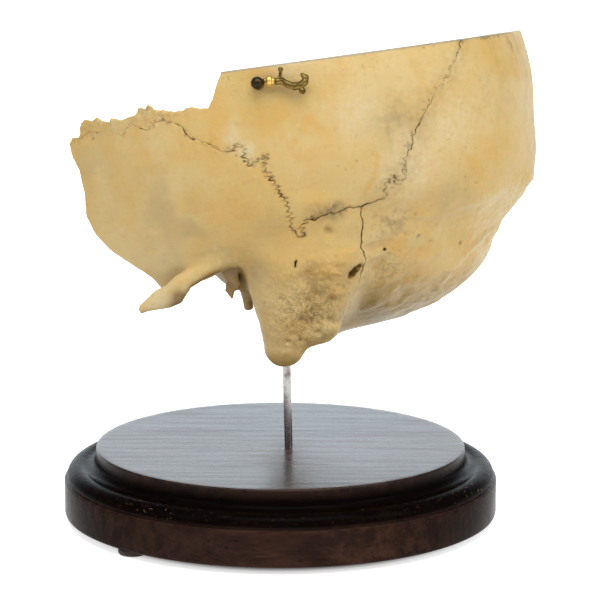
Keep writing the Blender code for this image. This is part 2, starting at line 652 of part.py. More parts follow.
def add_hook(frame, mat):
    """The brass hook: an eye round the screw, a turned bead and a curled end with two knobs."""
    height = HOOK_HEIGHT * MM
    pieces = [tube_mesh("hook", [((a * MM, u * MM, height), r * MM) for a, u, r in HOOK_PATH])]
    eye_ends = [(0, 0, z * MM) for z in EYE_HEIGHTS]
    pieces.append(cylinder_mesh("eye", *eye_ends, EYE_RADIUS * MM))
    for (a0, u0), (a1, u1), stem, knob in HOOK_KNOBS:
        ends = [((a * MM, u * MM, height), stem * MM) for a, u in ((a0, u0), (a1, u1))]
        pieces.append(tube_mesh("stem", ends))
        pieces.append(ball_mesh("knob", (a1 * MM, u1 * MM, height), knob * MM))
    hook = add_object("hook", pieces[0], mat)
    collection = bpy.data.collections.new("hook_pieces")
    bpy.context.scene.collection.children.link(collection)
    for mesh in pieces[1:]:
        collection.objects.link(bpy.data.objects.new(mesh.name, mesh))
    union = hook.modifiers.new("Pieces", "BOOLEAN")
    union.operation = "UNION"
    union.solver = "EXACT"
    union.operand_type = "COLLECTION"
    union.collection = collection
    bake(hook)
    for piece in list(collection.objects):
        bpy.data.objects.remove(piece)
    bpy.data.collections.remove(collection)
    cut(hook, cylinder_mesh("eye_bore", (0, 0, -HOLE_START * MM), (0, 0, HOLE_START * MM), EYE_BORE * MM))
    clearance = HEAD_RADIUS * MM + GAP
    cut(hook, ball_mesh("head_room", (0, 0, HEAD_CENTRE * MM), clearance))
    hook.matrix_world = frame


def main():
    for obj in list(bpy.data.objects):
        bpy.data.objects.remove(obj)
    bone = material("bone", (0.68, 0.49, 0.24), 0.5)
    wood = material("dark_walnut", (0.035, 0.022, 0.018), 0.35)
    steel = material("steel", (0.55, 0.55, 0.56), 0.25, 1.0)
    brass = material("antique_brass", (0.35, 0.26, 0.08), 0.4, 1.0)
    rubber = material("rubber", (0.03, 0.03, 0.03), 0.8)
    pose = skull_pose()
    add_bones(pose, bone)
    add_base(wood)
    add_pads(rubber)
    add_rod(steel)
    add_screw(pose @ hook_frame(), brass)
    add_hook(pose @ hook_frame(), brass)


main()
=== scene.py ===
"""Looks of the partial human skull: fine bones, a lacquered walnut base, a steel rod and a brass hook latch.

The bones repeat the distance fields of the part's source, in millimetres in the skull's own frame (X to the
back of the head, Y from the left side to the midline, Z up), at a finer step and with the surface that dry
bone has: wandering sutures, muscle marks, pits, vessel grooves and the spongy layer in the saw cuts.
"""

import math

import bmesh
import bpy
import numpy as np
import openvdb
from mathutils import Matrix, Vector


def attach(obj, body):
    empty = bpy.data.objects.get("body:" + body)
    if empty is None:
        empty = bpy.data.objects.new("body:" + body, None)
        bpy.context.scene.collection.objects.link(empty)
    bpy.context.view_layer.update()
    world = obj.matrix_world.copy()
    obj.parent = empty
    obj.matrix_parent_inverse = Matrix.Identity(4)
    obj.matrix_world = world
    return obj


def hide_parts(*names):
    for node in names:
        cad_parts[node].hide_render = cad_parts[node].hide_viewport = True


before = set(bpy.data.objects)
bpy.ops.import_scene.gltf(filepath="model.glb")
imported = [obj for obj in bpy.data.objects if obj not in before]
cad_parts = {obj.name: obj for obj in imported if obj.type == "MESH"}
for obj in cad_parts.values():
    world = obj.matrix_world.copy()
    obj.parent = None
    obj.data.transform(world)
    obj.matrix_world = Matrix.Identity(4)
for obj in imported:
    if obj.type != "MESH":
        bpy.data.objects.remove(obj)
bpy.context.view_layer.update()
MM = 0.001

# Camera: the photo's place and angle, from the two ellipses of the base.
CAMERA_PLACE = (0.0, -0.77704, 0.21009)
CAMERA_TILT = 10.74
CAMERA_LENS = 162.9
CAMERA_SHIFT = 0.0326
FLOOR_HEIGHT = -0.002
FLOOR_REACH = 4.0

# Light: the world is bright behind the stand and dim at the front, with large lamps above.
BACK_LIGHT = 2.4
FRONT_LIGHT = 0.3
BACK_TINT = (0.90, 1.0, 1.08)
# How far a direction points back where the front's light ends and where the back's begins.
LIGHT_CHANGE = (0.7, 0.93)
# The floor's glow at two depths behind the middle of the stand, in metres.
FLOOR_GLOW = (0.15, 0.95)
FLOOR_GLOW_DEPTH = (0.0, 0.5)
# A ring of floor that glows more, so that the base's shadow stays faint, with its limits in metres.
RING_GLOW = 0.7
RING_INNER = (0.0545, 0.0605)
RING_OUTER = (0.09, 0.16)
LAMP_TARGET = (0.0, 0.0, 0.08)
LAMPS = [
    # name, place, size, power
    ("lamp_above", (0.05, -0.45, 1.05), (0.9, 0.7), 10.0),
    ("lamp_left", (-0.9, -0.6, 0.75), (0.5, 0.7), 2.5),
    ("lamp_right", (0.95, -0.5, 0.7), (0.5, 0.7), 4.0),
]

# Tones of bone as red, green and blue on a screen, all darkened by this share for the strong light.
BONE_BRIGHTNESS = 0.79
BONE_TONES = {
    "cream": (226, 195, 130), "straw": (221, 184, 108), "amber": (216, 170, 84), "tan": (196, 158, 104),
    # The pale tone is partly a painted highlight.
    "umber": (168, 124, 68), "ivory": (238, 220, 178), "warm": (224, 170, 78), "pale_and_highlight": (234, 219, 180),
    # The dirt tone is laid both for dirt and for painted shade.
    # The grey tone is partly painted shade.
    "grey_and_shade": (160, 138, 88), "dirt_and_shade": (78, 56, 30), "wisps": (96, 66, 36), "rim": (150, 142, 124),
    # The brown tone is painted shade.
    "brown": (124, 88, 40), "cut": (188, 174, 144), "pores": (84, 60, 36),
}

# Stand, in millimetres and degrees.
GRAIN_SLANT = 17
BASE_RADIUS = 63.5
BASE_STEP_HEIGHT = 10.7
BASE_TOP_HEIGHT = 19.8
BASE_TOP_RADIUS = 54.1
TORUS_CENTRE = (59.3, 11.3)
TORUS_RADIUS = 3.4
COVE_HEIGHT = 16.4
COVE_RADIUS = 2.2
EDGE_ROUND = 0.55
# Light flecks on the moulding, partly wear and partly painted glint, as angle, width and strength.
WORN_AND_GLINT_SPOTS = [(-22, 12, 0.94), (-125, 9, 0.3)]
WORN_AND_GLINT_EVERYWHERE = 0.06
# How far the fine pieces lie inside the solids.
SKIN = 0.02
PAD_RADIUS = 4.25
PAD_HEIGHT = 2.0
PAD_CIRCLE = 58.5
PAD_ANGLES = (-135.0, -5.0, 115.0)
ROD_RADIUS = 1.2
ROD_FOOT = (2.4, -2.6, BASE_TOP_HEIGHT)
ROD_SINK = 7.9
SOCKET_ROOM = 0.2

# Pose of the skull on the rod.
MASTOID_TIP = (10.0, -52.0, -28.0)
MASTOID_TIP_PLACE = (1.8, -3.0, 43.7)
PITCH = 14.0
ROLL = 3.6
YAW = 12.0

# Braincase, saw cuts and side outline.
BRAIN_CENTRE = (0.0, 0.0, 42.0)
HALF_BREADTH = 70.0
FULLNESS = 2.25
FRONT_NARROWING = 0.24
MEDIAN_RADIUS = {
    -180: 95.0, -140: 82.0, -110: 70.0, -88: 69.5, -73: 71.0, -57: 78.7, -48: 83.5, -40: 86.0,
    -33: 85.6, -25: 90.0, -20: 91.9, -10: 91.4, 0: 92.2, 12: 91.2, 30: 82.5, 60: 77.0, 90: 76.0, 140: 85.0,
}
WALL = 5.5
SQUAMA_WALL = 2.2
OCCIPITAL_EXTRA = 1.8
CREST_EXTRA = 3.0
SAW_FRONT = (13.4, 59.4)
SAW_SLOPE = -0.094
FRINGE = [
    (16.0, 66.0), (14.3, 59.1), (12.3, 55.8), (10.4, 52.2), (8.6, 50.2), (3.7, 51.5), (-0.3, 51.1),
    (-6.6, 53.2), (-7.6, 54.1), (-8.7, 54.9), (-9.6, 54.1), (-10.4, 54.3), (-12.1, 54.5), (-13.1, 52.9),
    (-15.2, 53.1), (-18.0, 52.2), (-20.2, 52.6), (-21.6, 53.5), (-22.4, 52.4), (-23.5, 52.4), (-25.0, 53.4),
    (-26.7, 54.9), (-28.4, 54.2), (-30.1, 54.9), (-32.6, 54.5), (-33.5, 51.2), (-34.4, 50.1), (-35.5, 50.3),
    (-36.7, 50.8), (-38.0, 49.0),
]
SQUAMA_EDGE = [
    (-38.0, 45.0), (-36.7, 41.0), (-36.9, 34.0), (-38.4, 27.5), (-37.1, 21.5), (-32.9, 15.2), (-28.0, 10.8),
    (-23.0, 6.0), (-19.6, 2.0),
]
BASE_EDGE = [(-19.6, -40.0), (104.0, -40.0), (104.0, 66.0)]
EDGE_WALL = 1.1
EDGE_TAPER = 0.9
BREAK_ARCH = [(-20.0, 0.5), (-9.4, 1.5), (-3.3, 3.3), (1.0, 4.8), (3.1, 4.7), (5.2, 3.6), (8.7, -1.2)]
BREAK_SIDE = (7.0, -50.0)
BREAK_MIDDLE = (-3.0, -15.0)

# Processes and hollows.
PROCESS_STATIONS = [
    # x, y, z, half width, half height
    (9.0, -57.5, 6.6, 2.0, 1.6),
    (0.0, -59.6, 6.2, 3.4, 2.0),
    (-5.0, -61.0, 5.0, 2.8, 2.3),
    (-10.0, -62.6, 3.6, 2.0, 2.7),
    (-13.5, -63.2, 1.2, 1.7, 4.0),
    (-17.0, -63.3, -0.2, 1.4, 3.3),
    (-20.3, -63.0, -0.5, 1.2, 2.9),
    (-24.0, -62.8, -1.5, 1.0, 1.7),
    (-26.6, -62.4, -2.4, 0.9, 1.1),
]
# Limbs are start, end, both radii and, where one isn't round, how it is narrowed along X, Y and Z.
PROCESS_ROOT = ((2, -57, 7.0), (-7, -57.5, 5.6), 3.6, 2.6, (1, 1, 0.7))
MASTOID_CONE = ((16.8, -50.5, 2), (10.7, -52, -22.3), 12.3, 5.9)
MASTOID_REAR = ((28, -49, 0), (24, -49.5, -18.0), 11.5, 4.4)
MASTOID_WEB = ((13, -51.5, -20), (22, -50, -19.5), 4.6, 4.4)
MASTOID_NOTCH = ((30, -41, -22), (13, -42.5, -19), 3.0, 2.6)
PETROUS_OUTER = ((12, -45, 1.5), (-2, -31, 3.5), 10.5, 7.4)
PETROUS_APEX = ((-2, -31, 3.5), (-13, -22, 7), 7.4, 4.6)
CONDYLE = ((4, -16.5, -21), (15, -19.5, -21.5), 4.2, 3.6, (1, 1, 0.9))
JUGULAR_PROCESS = ((17, -30, -15), (26, -41, -11), 5.5, 6.5)
JUGULAR_OPENING = ((4, -28, -24), (6, -27, -6), 4.2, 4.2)
INNER_EAR_OPENING = ((2, -22, 6), (4, -31, 6), 2.4, 1.8)
EAR_MOUTH = (1.4, -51.8, 1.0)
EAR_TUBE = (2.2, -0.5)
EAR_TUBE_RADIUS = 3.4
EAR_BORE_RADIUS = 1.1
EAR_PLATE = [
    (-1.4, 5.0), (-1.8, 1.5), (-1.3, 0.0), (-2.2, -2.4), (-1.1, -5.4), (-0.5, -5.2), (0.4, -3.4), (1.5, -3.2),
    (2.6, -1.9), (3.2, 5.0),
]
EAR_PLATE_SIDE = (-54.2, 0.9)
EAR_BRIDGE = ((0.3, -54.0, 2.5), (1.0, -48, 1.5), 1.6, 2.6)
STYLOID_STUMP = ((3.3, -48.4, -2.0), (2.0, -48.3, -8.8), 2.5, 1.4)
FORAMEN_CENTRE = (21.0, 0.0)
FORAMEN_HALF = (18.0, 15.0)
FORAMEN_TOP = -10.0
SINUS_COURSE = [
    (75, 2, 12), (70, -24, 12.5), (58, -38, 12), (45, -47, 11), (33, -49, 6), (27, -44, -3), (20, -37, -9),
]
SINUS_RADIUS = 3.8
FOSSA_FLOOR = [(-20.0, -54.0), (4.0, -54.0), (4.0, -36.0), (-11.0, -25.0), (-13.0, -33.0)]
FOSSA_LEVEL = (5.0, 1.7)

# Sutures, as points of the outer surface.
SUTURE_CENTRE = (0.0, 0.0, 30.0)
SQUAMOSAL = [
    (-44, -53, 50.5), (-37, -55, 49.5), (-35, -56, 50), (-31.5, -58, 51), (-27, -61, 51), (-25, -62, 50),
    (-22.5, -63, 50.7), (-20.5, -64, 48.8), (-18.6, -65, 48), (-16, -66, 50.3), (-14, -67, 50.8),
    (-10.5, -68, 47.7), (-8.5, -69, 49.3), (-6, -69, 50), (-3.4, -70, 49), (0.3, -70, 47), (0.5, -70, 45),
    (2, -70, 43), (4, -70, 41.4), (6, -70, 40.7), (8, -70, 38.5), (10.5, -70, 37), (13.4, -69.5, 36.7),
    (15, -69.4, 39), (16.5, -69.3, 36.3), (15.4, -69.2, 34.2), (16.7, -69, 32.2), (18.8, -69, 32.3),
    (20.4, -69, 33.3), (21.7, -68.5, 32.7), (21, -68.4, 30.6), (20.8, -68, 28), (22.5, -67.5, 25.5),
    (23, -67, 22.2), (24.4, -66, 18.6), (24, -65, 15.4), (23.4, -64.4, 13), (23.8, -63.3, 10.6),
]
PARIETOMASTOID = [
    (24.4, -62.5, 8.7), (25.9, -62.2, 8.6), (26, -63.5, 11.6), (28.2, -64, 13.8), (30.5, -63, 12.6),
    (34, -62.4, 13.5), (37, -62, 13.2), (40, -60.5, 13.4), (43.5, -59, 13),
]
LAMBDOID = [
    (45, -58.5, 13.2), (47.7, -57.4, 13.4), (49.5, -57, 13.8), (51.3, -56.3, 14.6), (50.7, -57.3, 16.2),
    (51.4, -57.6, 18), (53.8, -57, 19.6), (54.7, -56.4, 18.8), (53.4, -56.3, 16.6), (55, -56, 16.6),
    (56.3, -55.5, 18.7), (57.3, -55.6, 20.5), (58.2, -55.7, 23.2), (60, -55, 26), (62.4, -54, 30.7),
    (63.8, -53.4, 32.4), (66, -52, 35.3), (68.3, -51, 38.2), (72, -47.6, 42.5), (74, -45.7, 44),
    (77.3, -41.6, 49), (78.4, -39, 53), (80, -36, 64),
]
OCCIPITOMASTOID = [
    (43.5, -59, 13), (43, -58, 9), (40, -55, 2), (40, -53, -3), (36, -50, -8), (31, -47, -15), (27, -44, -18),
    (22, -38, -20), (16, -32, -18), (10, -27, -14), (4, -23, -10), (-4, -18, -5), (-14, -12, 2),
]
SUTURE_GAP = 0.08
# Sizes of the noise that bends a suture, and its waves, in radians for each millimetre.
SUTURE_WANDER = 2.0
SUTURE_TEETH = 0.85
COMB_TURNS = 4.6
WEAVE_TURNS = 2.4
# A closed part of a suture is filled up by this height, over this width.
SUTURE_FILL = (0.12, 0.4)
# How a suture leans inwards, as a shift in x and z for each millimetre of depth, in front and behind.
SUTURE_BEVEL_FRONT = (0.15, 0.65)
SUTURE_BEVEL_REAR = (-0.35, 0.6)

# Small marks of the outer surface: holes that lead in, as start, end and radius, and pits, as place and size.
SMALL_HOLES = [
    ((35.6, -56.3, -6.6), (31, -44, -3), 0.8),
    ((36.5, -56.0, -6.0), (31, -44, -3), 1.25),
    ((37.6, -55.7, -5.2), (32, -44, -2), 1.2),
    ((38.8, -55.1, -4.4), (33, -43, -1), 0.7),
    ((22.3, -63.5, 1.9), (21, -55, 2.2), 0.3),
    ((21.8, -63.3, 1.4), (21, -55, 1.9), 0.35),
    ((21.5, -63.2, 0.8), (21, -55, 1.5), 0.35),
    ((21.4, -63, 0.2), (20.5, -55, 1.0), 0.3),
    ((46.1, -52, -1.3), (45, -47, 0), 0.35),
]
PITS = [
    ((56.3, -49, 7), 0.6), ((32.9, -61, 8.4), 1.0), ((55.3, -46, 0.6), 0.6), ((64.3, -30, -5), 0.7),
    ((13.7, -58, -20.7), 0.8), ((19, -56, -16), 0.9), ((21.9, -54.5, -20), 0.9), ((14.6, -61, -8), 0.6),
    ((28, -56, -11.4), 0.9), ((24, -57.5, -9), 0.8), ((16.6, -56, -21), 0.7), ((26, -54, -17.3), 0.9),
    ((20.5, -54.5, -16), 0.8), ((0.5, -70, 43.9), 0.45), ((2.6, -70, 42.6), 0.45), ((13.6, -69.5, 35.2), 0.4),
    ((22.4, -68.4, 33.6), 0.4), ((17.5, -69, 31), 0.4), ((30, -63, 12.9), 0.8), ((-29, -60, 49), 0.4),
]
PIT_DEPTH = 0.9
# A crest low on the occipital, raised and brightened by a painted highlight.
HIGHLIT_CREST = [(72.2, -10.3, -3.4), (65.9, -22.9, -7.9), (59.5, -29.1, -11.6), (53.6, -25.8, -16.9)]
MUSCLE_RIDGES = [
    # course, height, width, of which the first two are the nuchal lines
    ([(86, 2, 8.5), (84, -8, 8.2), (80, -23.6, 7.3), (74, -34, 8), (68, -45, 12.5), (62, -51, 14),
      (50, -56, 11)], 0.7, 3.2),
    ([(74, 2, -6), (66, -18, -9), (57, -33, -11), (45, -38, -14), (34, -37, -17)], 0.5, 2.4),
    ([(55.6, -48.8, 6.5), (63.3, -42.3, 5.4), (68.1, -38.2, 5.5), (74.6, -32.5, 6.9), (84.7, -2, 8.5)],
     0.5, 1.6),
    (HIGHLIT_CREST, 0.8, 1.5),
    ([(40.2, -53.3, -2.8), (45.8, -51.0, -1.5), (50.9, -49.0, -0.2), (56.0, -45.5, 1.4)], 0.45, 1.2),
    ([(41.5, -43.1, -11.7), (47.1, -43.0, -9.5), (53.4, -41.4, -7.2), (59.3, -37.6, -5.2)], 0.5, 1.5),
    ([(59.5, -29.1, -11.6), (53, -37, -10.5), (46, -40, -13), (38, -39, -15.5)], 0.35, 1.3),
    ([(69, -36, 2), (63, -34, -6)], 0.3, 1.3),
    ([(50.4, -60.5, 19), (43.5, -61.5, 16.4), (33, -63.5, 16.5), (27, -66, 18)], 0.3, 2.2),
    ([(27, -60.5, 7), (24, -61, 1), (20, -60, -4)], 0.45, 1.6),
    ([(31, -59.5, 6), (29, -59, -2)], 0.35, 1.2),
]
HOLLOWS = [
    # place, size, depth
    ((48, -52, 4), 7, 0.55), ((54, -46, -3), 5, 0.4), ((63, -37, 0), 6, 0.4), ((47, -42, -14), 6, 0.5),
    ((35, -57, 4), 5, 0.5), ((28, -57, -3), 4, 0.4), ((20, -60, -11), 3.5, 0.35), ((78, -24, 3), 5, 0.4),
]
# Patches of colour on the outside: place, size, strength.
WARM_PATCHES = [
    ((33, -67, 40), 16, 0.75), ((12, -70, 45), 12, 0.6), ((-3, -70, 36), 5, 0.7), ((-3, -69, 26), 5, 0.6),
    ((-12, -68, 40), 6, 0.6), ((3, -68, 23), 6, 0.5), ((77, -37, 18), 7, 0.8), ((59, -41, -2), 8, 0.8),
    ((48, -49, -2), 8, 0.8), ((-13, -64, 0), 5, 0.7), ((80, -32, 30), 14, 0.35), ((50, -40, -13), 9, 0.7),
    ((68, -26, -7), 9, 0.6), ((-24, -63, 47), 5, 0.6), ((-12, -67, 48), 5, 0.6), ((12, -69, 57), 6, 0.5),
]
# Grey patches, partly grey bone and partly painted shade on the squama, under the zygomatic root and
# underneath.
GREY_AND_SHADE_PATCHES = [
    ((-10, -67, 23), 12, 0.4), ((-5, -66, 17), 6, 0.55), ((-16, -61, 12), 6, 0.5), ((-34, -57, 38), 10, 0.4),
    ((8, -62, 3), 6, 0.5), ((36, -42, -17), 8, 0.6), ((60, -56, 33), 9, 0.4), ((68, -44, 9), 8, 0.4),
    ((47, -55, 5), 4, 0.5), ((20, -66, 12), 7, 0.3),
]
# Pale patches, partly pale bone and partly painted highlight, as on the zygomatic process and at the crest's
# end.
PALE_AND_HIGHLIGHT_PATCHES = [
    ((62, -54, 22), 10, 0.6), ((50, -63, 40), 8, 0.5), ((54, -25, -16), 3, 0.9), ((-21, -64, -1), 6, 0.6),
    ((72, -47, 30), 10, 0.5), ((35, -68, 55), 7, 0.35), ((14, -69, 40.5), 3, 0.7), ((17, -69, 36), 3, 0.7),
]
# Darker patches, as the patches above, and lines, as course and width.
# The first patch is painted shade round the mastoid foramen; the second darkens the mastoid low down.
DARK_PATCHES = [((36, -57, -6), 4, 0.3), ((16, -58, -20), 8, 0.2)]
VESSEL = ([(51.5, -59.6, 26), (49.7, -59.6, 21.9), (47.6, -59.5, 18.9), (45.4, -59.7, 16)], 0.9)
# Painted shade: a brown line along the zygomatic process's lower edge.
PROCESS_EDGE = ([
    (-12.2, -63, -0.7), (-8.8, -63, 1.6), (-2.8, -62, 3.4), (1.5, -61, 4.9), (4, -60.5, 4.7), (6, -60, 3.2),
], 0.9)
MASTOID_ROUGHNESS = ((22, -57, -15), 11.5)
MENINGEAL_GROOVE_RADIUS = 0.6
MENINGEAL_GROOVES = [
    [(-20, -44, 6), (-12, -55, 22), (-2, -64, 40), (6, -66, 56)],
    [(-12, -55, 22), (8, -63, 30), (30, -60, 42), (44, -55, 58)],
    [(8, -63, 30), (26, -60, 28), (44, -54, 34), (60, -44, 50)],
    [(-2, -64, 40), (-18, -60, 48), (-30, -55, 52)],
]

# Corners far outside, in the side view, that close the parietal and occipital regions.
PARIETAL_ABOVE = [(2.3, 9.0), (-9.0, 9.0), (-9.0, 0.4)]
OCCIPITAL_BEYOND = [(9000.0, -9000.0), (9000.0, 3600.0)]
FAR = 900

# Meshing.
GRID_LOW = (-44.0, -74.0, -34.0)
GRID_HIGH = (96.0, 3.0, 64.0)
STEP = 0.34
BLOCK = 4
BATCH = 1500
BASE_STEPS = 288
TURNED_STEPS = 48

# Brass hook, in millimetres on the bone's surface: along it, up it and out from it.
HOOK_PIN = (24.0, -66.8, 53.3)
HOOK_TOWARDS = (36.0, -64.9, 50.7)
HOOK_HEIGHT = 1.95
EYE_RADIUS = 1.72
EYE_BORE = 1.03
EYE_HEIGHTS = (0.33, 1.47)
SHANK_RADIUS = 0.68
SHANK_DEPTH = 3.9
HEAD_RADIUS = 1.84
HEAD_UNDERSIDE = 1.83
HEAD_CENTRE = 3.28
HOOK_PATH = [
    # along, up, radius
    (0.9, 0.2, 0.68), (2.0, 0.5, 0.9), (2.9, 0.7, 0.95), (4.4, 0.6, 0.85), (5.6, 0.5, 0.88),
    (6.9, 0.6, 0.92), (8.6, -0.5, 0.96), (10.3, -1.0, 1.07), (12.0, -0.8, 1.06), (13.3, 0.2, 0.95),
    (13.6, 1.4, 0.8), (12.7, 2.2, 0.62),
]
HOOK_BEAD = ((3.1, 0.7), (3.5, 0.7), 1.52)
HOOK_KNOBS = [((6.2, 0.5), (6.5, 3.9), 0.42, 0.74), ((12.3, -0.8), (12.6, -2.3), 0.5, 1.0)]
HOOK_LOW = (-2.4, -4.2, -0.2)
HOOK_HIGH = (15.2, 4.8, 4.2)
HOOK_STEP = 0.1


def vec(values):
    """Values as an array of the precision that the fields use."""
    return np.array(values, np.float32)


def smooth_ramp(low, high, value):
    """0 at low, 1 at high, with level ends."""
    share = np.clip((value - low) / (high - low), 0, 1)
    return share * share * (3 - 2 * share)


def bell(value, width):
    """1 where value is 0, falling to 0 at about twice this width."""
    return np.exp(-((value / width) ** 2))


def joined(a, b, reach):
    """The union of two fields, filleted over about this reach."""
    share = np.clip(0.5 + 0.5 * (b - a) / reach, 0, 1)
    return b * (1 - share) + a * share - reach * share * (1 - share)


def kept_inside(a, b, reach):
    """What two fields share, with its edge rounded over this reach."""
    return -joined(-a, -b, reach)


def carved(a, b, reach):
    """The first field with the second taken out."""
    return -joined(-a, b, reach)


def limb(points, start, end, start_radius, end_radius, flat=(1.0, 1.0, 1.0)):
    """A tapered round-ended limb, narrowed along X, Y or Z by a factor under 1."""
    flat = vec(flat)
    start, end = vec(start) / flat, vec(end) / flat
    offset = points / flat - start
    axis = end - start
    share = np.clip(offset @ axis / (axis @ axis), 0, 1)
    distance = np.linalg.norm(offset - share[..., None] * axis, axis=-1)
    return (distance - start_radius - (end_radius - start_radius) * share) * flat.min()


def chain(points, course, radius):
    """A round tube along a course."""
    field = np.full(points.shape[:-1], np.inf, np.float32)
    for start, end in zip(course, course[1:]):
        field = np.minimum(field, limb(points, start, end, radius, radius))
    return field


def inside_polygon(u, v, corners):
    """Whether points are inside a closed polygon."""
    inside = np.zeros(u.shape, bool)
    for (u0, v0), (u1, v1) in zip(corners, corners[1:] + corners[:1]):
        if v0 != v1:
            inside ^= ((v0 > v) != (v1 > v)) & (u < u0 + (v - v0) * (u1 - u0) / (v1 - v0))
    return inside


def polygon_field(u, v, corners):
    """Signed distance to a closed polygon, negative inside."""
    nearest = np.full(u.shape, np.inf, np.float32)
    for (u0, v0), (u1, v1) in zip(corners, corners[1:] + corners[:1]):
        du, dv = u1 - u0, v1 - v0
        share = np.clip(((u - u0) * du + (v - v0) * dv) / (du * du + dv * dv), 0, 1)
        nearest = np.minimum(nearest, np.hypot(u - u0 - share * du, v - v0 - share * dv))
    return np.where(inside_polygon(u, v, corners), -nearest, nearest)


LATTICE_SIZE = 64
LATTICE = np.random.default_rng(11).uniform(-1, 1, LATTICE_SIZE**3).astype(np.float32)


def noise(points, size, shift=0.0):
    """Smooth random bumps of this size, between -1 and 1."""
    place = points * np.float32(1 / size) + np.float32(shift)
    cell = np.floor(place)
    share = place - cell
    share = share * share * (3 - 2 * share)
    cell = cell.astype(np.int32) % LATTICE_SIZE
    further = (cell + 1) % LATTICE_SIZE
    planes = []
    for i in (cell[..., 0], further[..., 0]):
        rows = []
        for j in (cell[..., 1], further[..., 1]):
            row = (i * LATTICE_SIZE + j) * LATTICE_SIZE
            here, there = LATTICE[row + cell[..., 2]], LATTICE[row + further[..., 2]]
            rows.append(here + share[..., 2] * (there - here))
        planes.append(rows[0] + share[..., 1] * (rows[1] - rows[0]))
    return planes[0] + share[..., 0] * (planes[1] - planes[0])


def fractal(points, size, octaves, shift=0.0):
    """Noise with finer and weaker copies of itself."""
    total = np.zeros(points.shape[:-1], np.float32)
    for i in range(octaves):
        total += noise(points, size / 2**i, shift + 9.7 * i) / 2**i
    return total


def median_radius(angle):
    """The braincase's radius at an angle in degrees, as a smooth curve through MEDIAN_RADIUS."""
    keys = vec(sorted(MEDIAN_RADIUS))
    values = vec([MEDIAN_RADIUS[key] for key in sorted(MEDIAN_RADIUS)])
    keys = np.concatenate([keys[-2:] - 360, keys, keys[:3] + 360])
    values = np.concatenate([values[-2:], values, values[:3]])
    slopes = np.gradient(values, keys)
    i = np.clip(np.searchsorted(keys, angle, side="right") - 1, 0, len(keys) - 2)
    width = keys[i + 1] - keys[i]
    t = (angle - keys[i]) / width
    rise = values[i + 1] - values[i]
    return (
        values[i] + rise * t * t * (3 - 2 * t)
        + width * t * (1 - t) * (slopes[i] * (1 - t) - slopes[i + 1] * t)
    )


def braincase(points):
    """The outer surface of the braincase, a superellipsoid whose median section is MEDIAN_RADIUS."""
    offset = points - vec(BRAIN_CENTRE)
    x, y, z = offset[..., 0], offset[..., 1], offset[..., 2]
    reach = median_radius(np.degrees(np.arctan2(z, x)))
    breadth = HALF_BREADTH * (1 - FRONT_NARROWING * smooth_ramp(0, 60, -x))
    size = (np.abs(y / breadth) ** FULLNESS + (np.hypot(x, z) / reach) ** FULLNESS) ** (1 / FULLNESS)
    return np.linalg.norm(offset, axis=-1) * (1 - 1 / np.maximum(size, 1e-6))


def wall_thickness(points):
    """The shell's thickness: thin at the squama, thick at the back and most along the midline."""
    x, y = points[..., 0], points[..., 1]
    squama = smooth_ramp(20, 2, x) * smooth_ramp(-40, -50, y)
    occipital = smooth_ramp(45, 75, x)
    crest = bell(y, 9) * smooth_ramp(40, 60, x)
    return WALL + (SQUAMA_WALL - WALL) * squama + OCCIPITAL_EXTRA * occipital + CREST_EXTRA * crest


def thin_wall(points):
    """The shell of the braincase inside its side outline, with a ragged upper fringe."""
    outer = braincase(points)
    x, y, z = points[..., 0], points[..., 1], points[..., 2]
    outline = polygon_field(x, z, FRINGE + SQUAMA_EDGE + BASE_EDGE)
    ragged = smooth_ramp(44, 49, z) * smooth_ramp(12, 6, x)
    thickness = np.minimum(wall_thickness(points), EDGE_WALL + EDGE_TAPER * np.maximum(-outline, 0))
    shell = kept_inside(outer, -outer - thickness, 0.5)
    outline = outline + (0.12 + 0.3 * ragged) * noise(points, 1.1)
    shell = kept_inside(shell, outline, 0.4)
    broken_x = np.interp(y, (BREAK_SIDE[1], BREAK_MIDDLE[1]), (BREAK_SIDE[0], BREAK_MIDDLE[0]))
    arch = np.interp(x, *zip(*BREAK_ARCH))
    broken = np.minimum(arch - z, broken_x - x) + 0.6 * smooth_ramp(-45, -38, y) * noise(points, 2.6)
    return kept_inside(shell, broken, 0.8)


def zygomatic_process(points):
    """The process over the ear, an ellipse swept through PROCESS_STATIONS."""
    x, y, z = points[..., 0], points[..., 1], points[..., 2]
    stations = np.array(PROCESS_STATIONS[::-1])
    centre_y, centre_z, half_y, half_z = (np.interp(x, stations[:, 0], stations[:, i]) for i in range(1, 5))
    size = np.hypot((y - centre_y) / half_y, (z - centre_z) / half_z)
    sweep = (size - 1) * np.minimum(half_y, half_z)
    ends = np.maximum(stations[0, 0] - x, x - stations[-1, 0])
    return joined(kept_inside(sweep, ends, 0.8), limb(points, *PROCESS_ROOT), 2.0)


def mastoid(points):
    """The mastoid process with the notch behind it."""
    front = joined(limb(points, *MASTOID_CONE), limb(points, *MASTOID_REAR), 3.0)
    return carved(joined(front, limb(points, *MASTOID_WEB), 2.0), limb(points, *MASTOID_NOTCH), 2.0)


def petrous_part(points):
    """The petrous part inside, with the floor between it and the squama."""
    level, half = FOSSA_LEVEL
    floor = polygon_field(points[..., 0], points[..., 1], FOSSA_FLOOR)
    floor = kept_inside(floor, np.abs(points[..., 2] - level) - half, 1.0)
    return joined(joined(limb(points, *PETROUS_OUTER), limb(points, *PETROUS_APEX), 2.0), floor, 3.0)


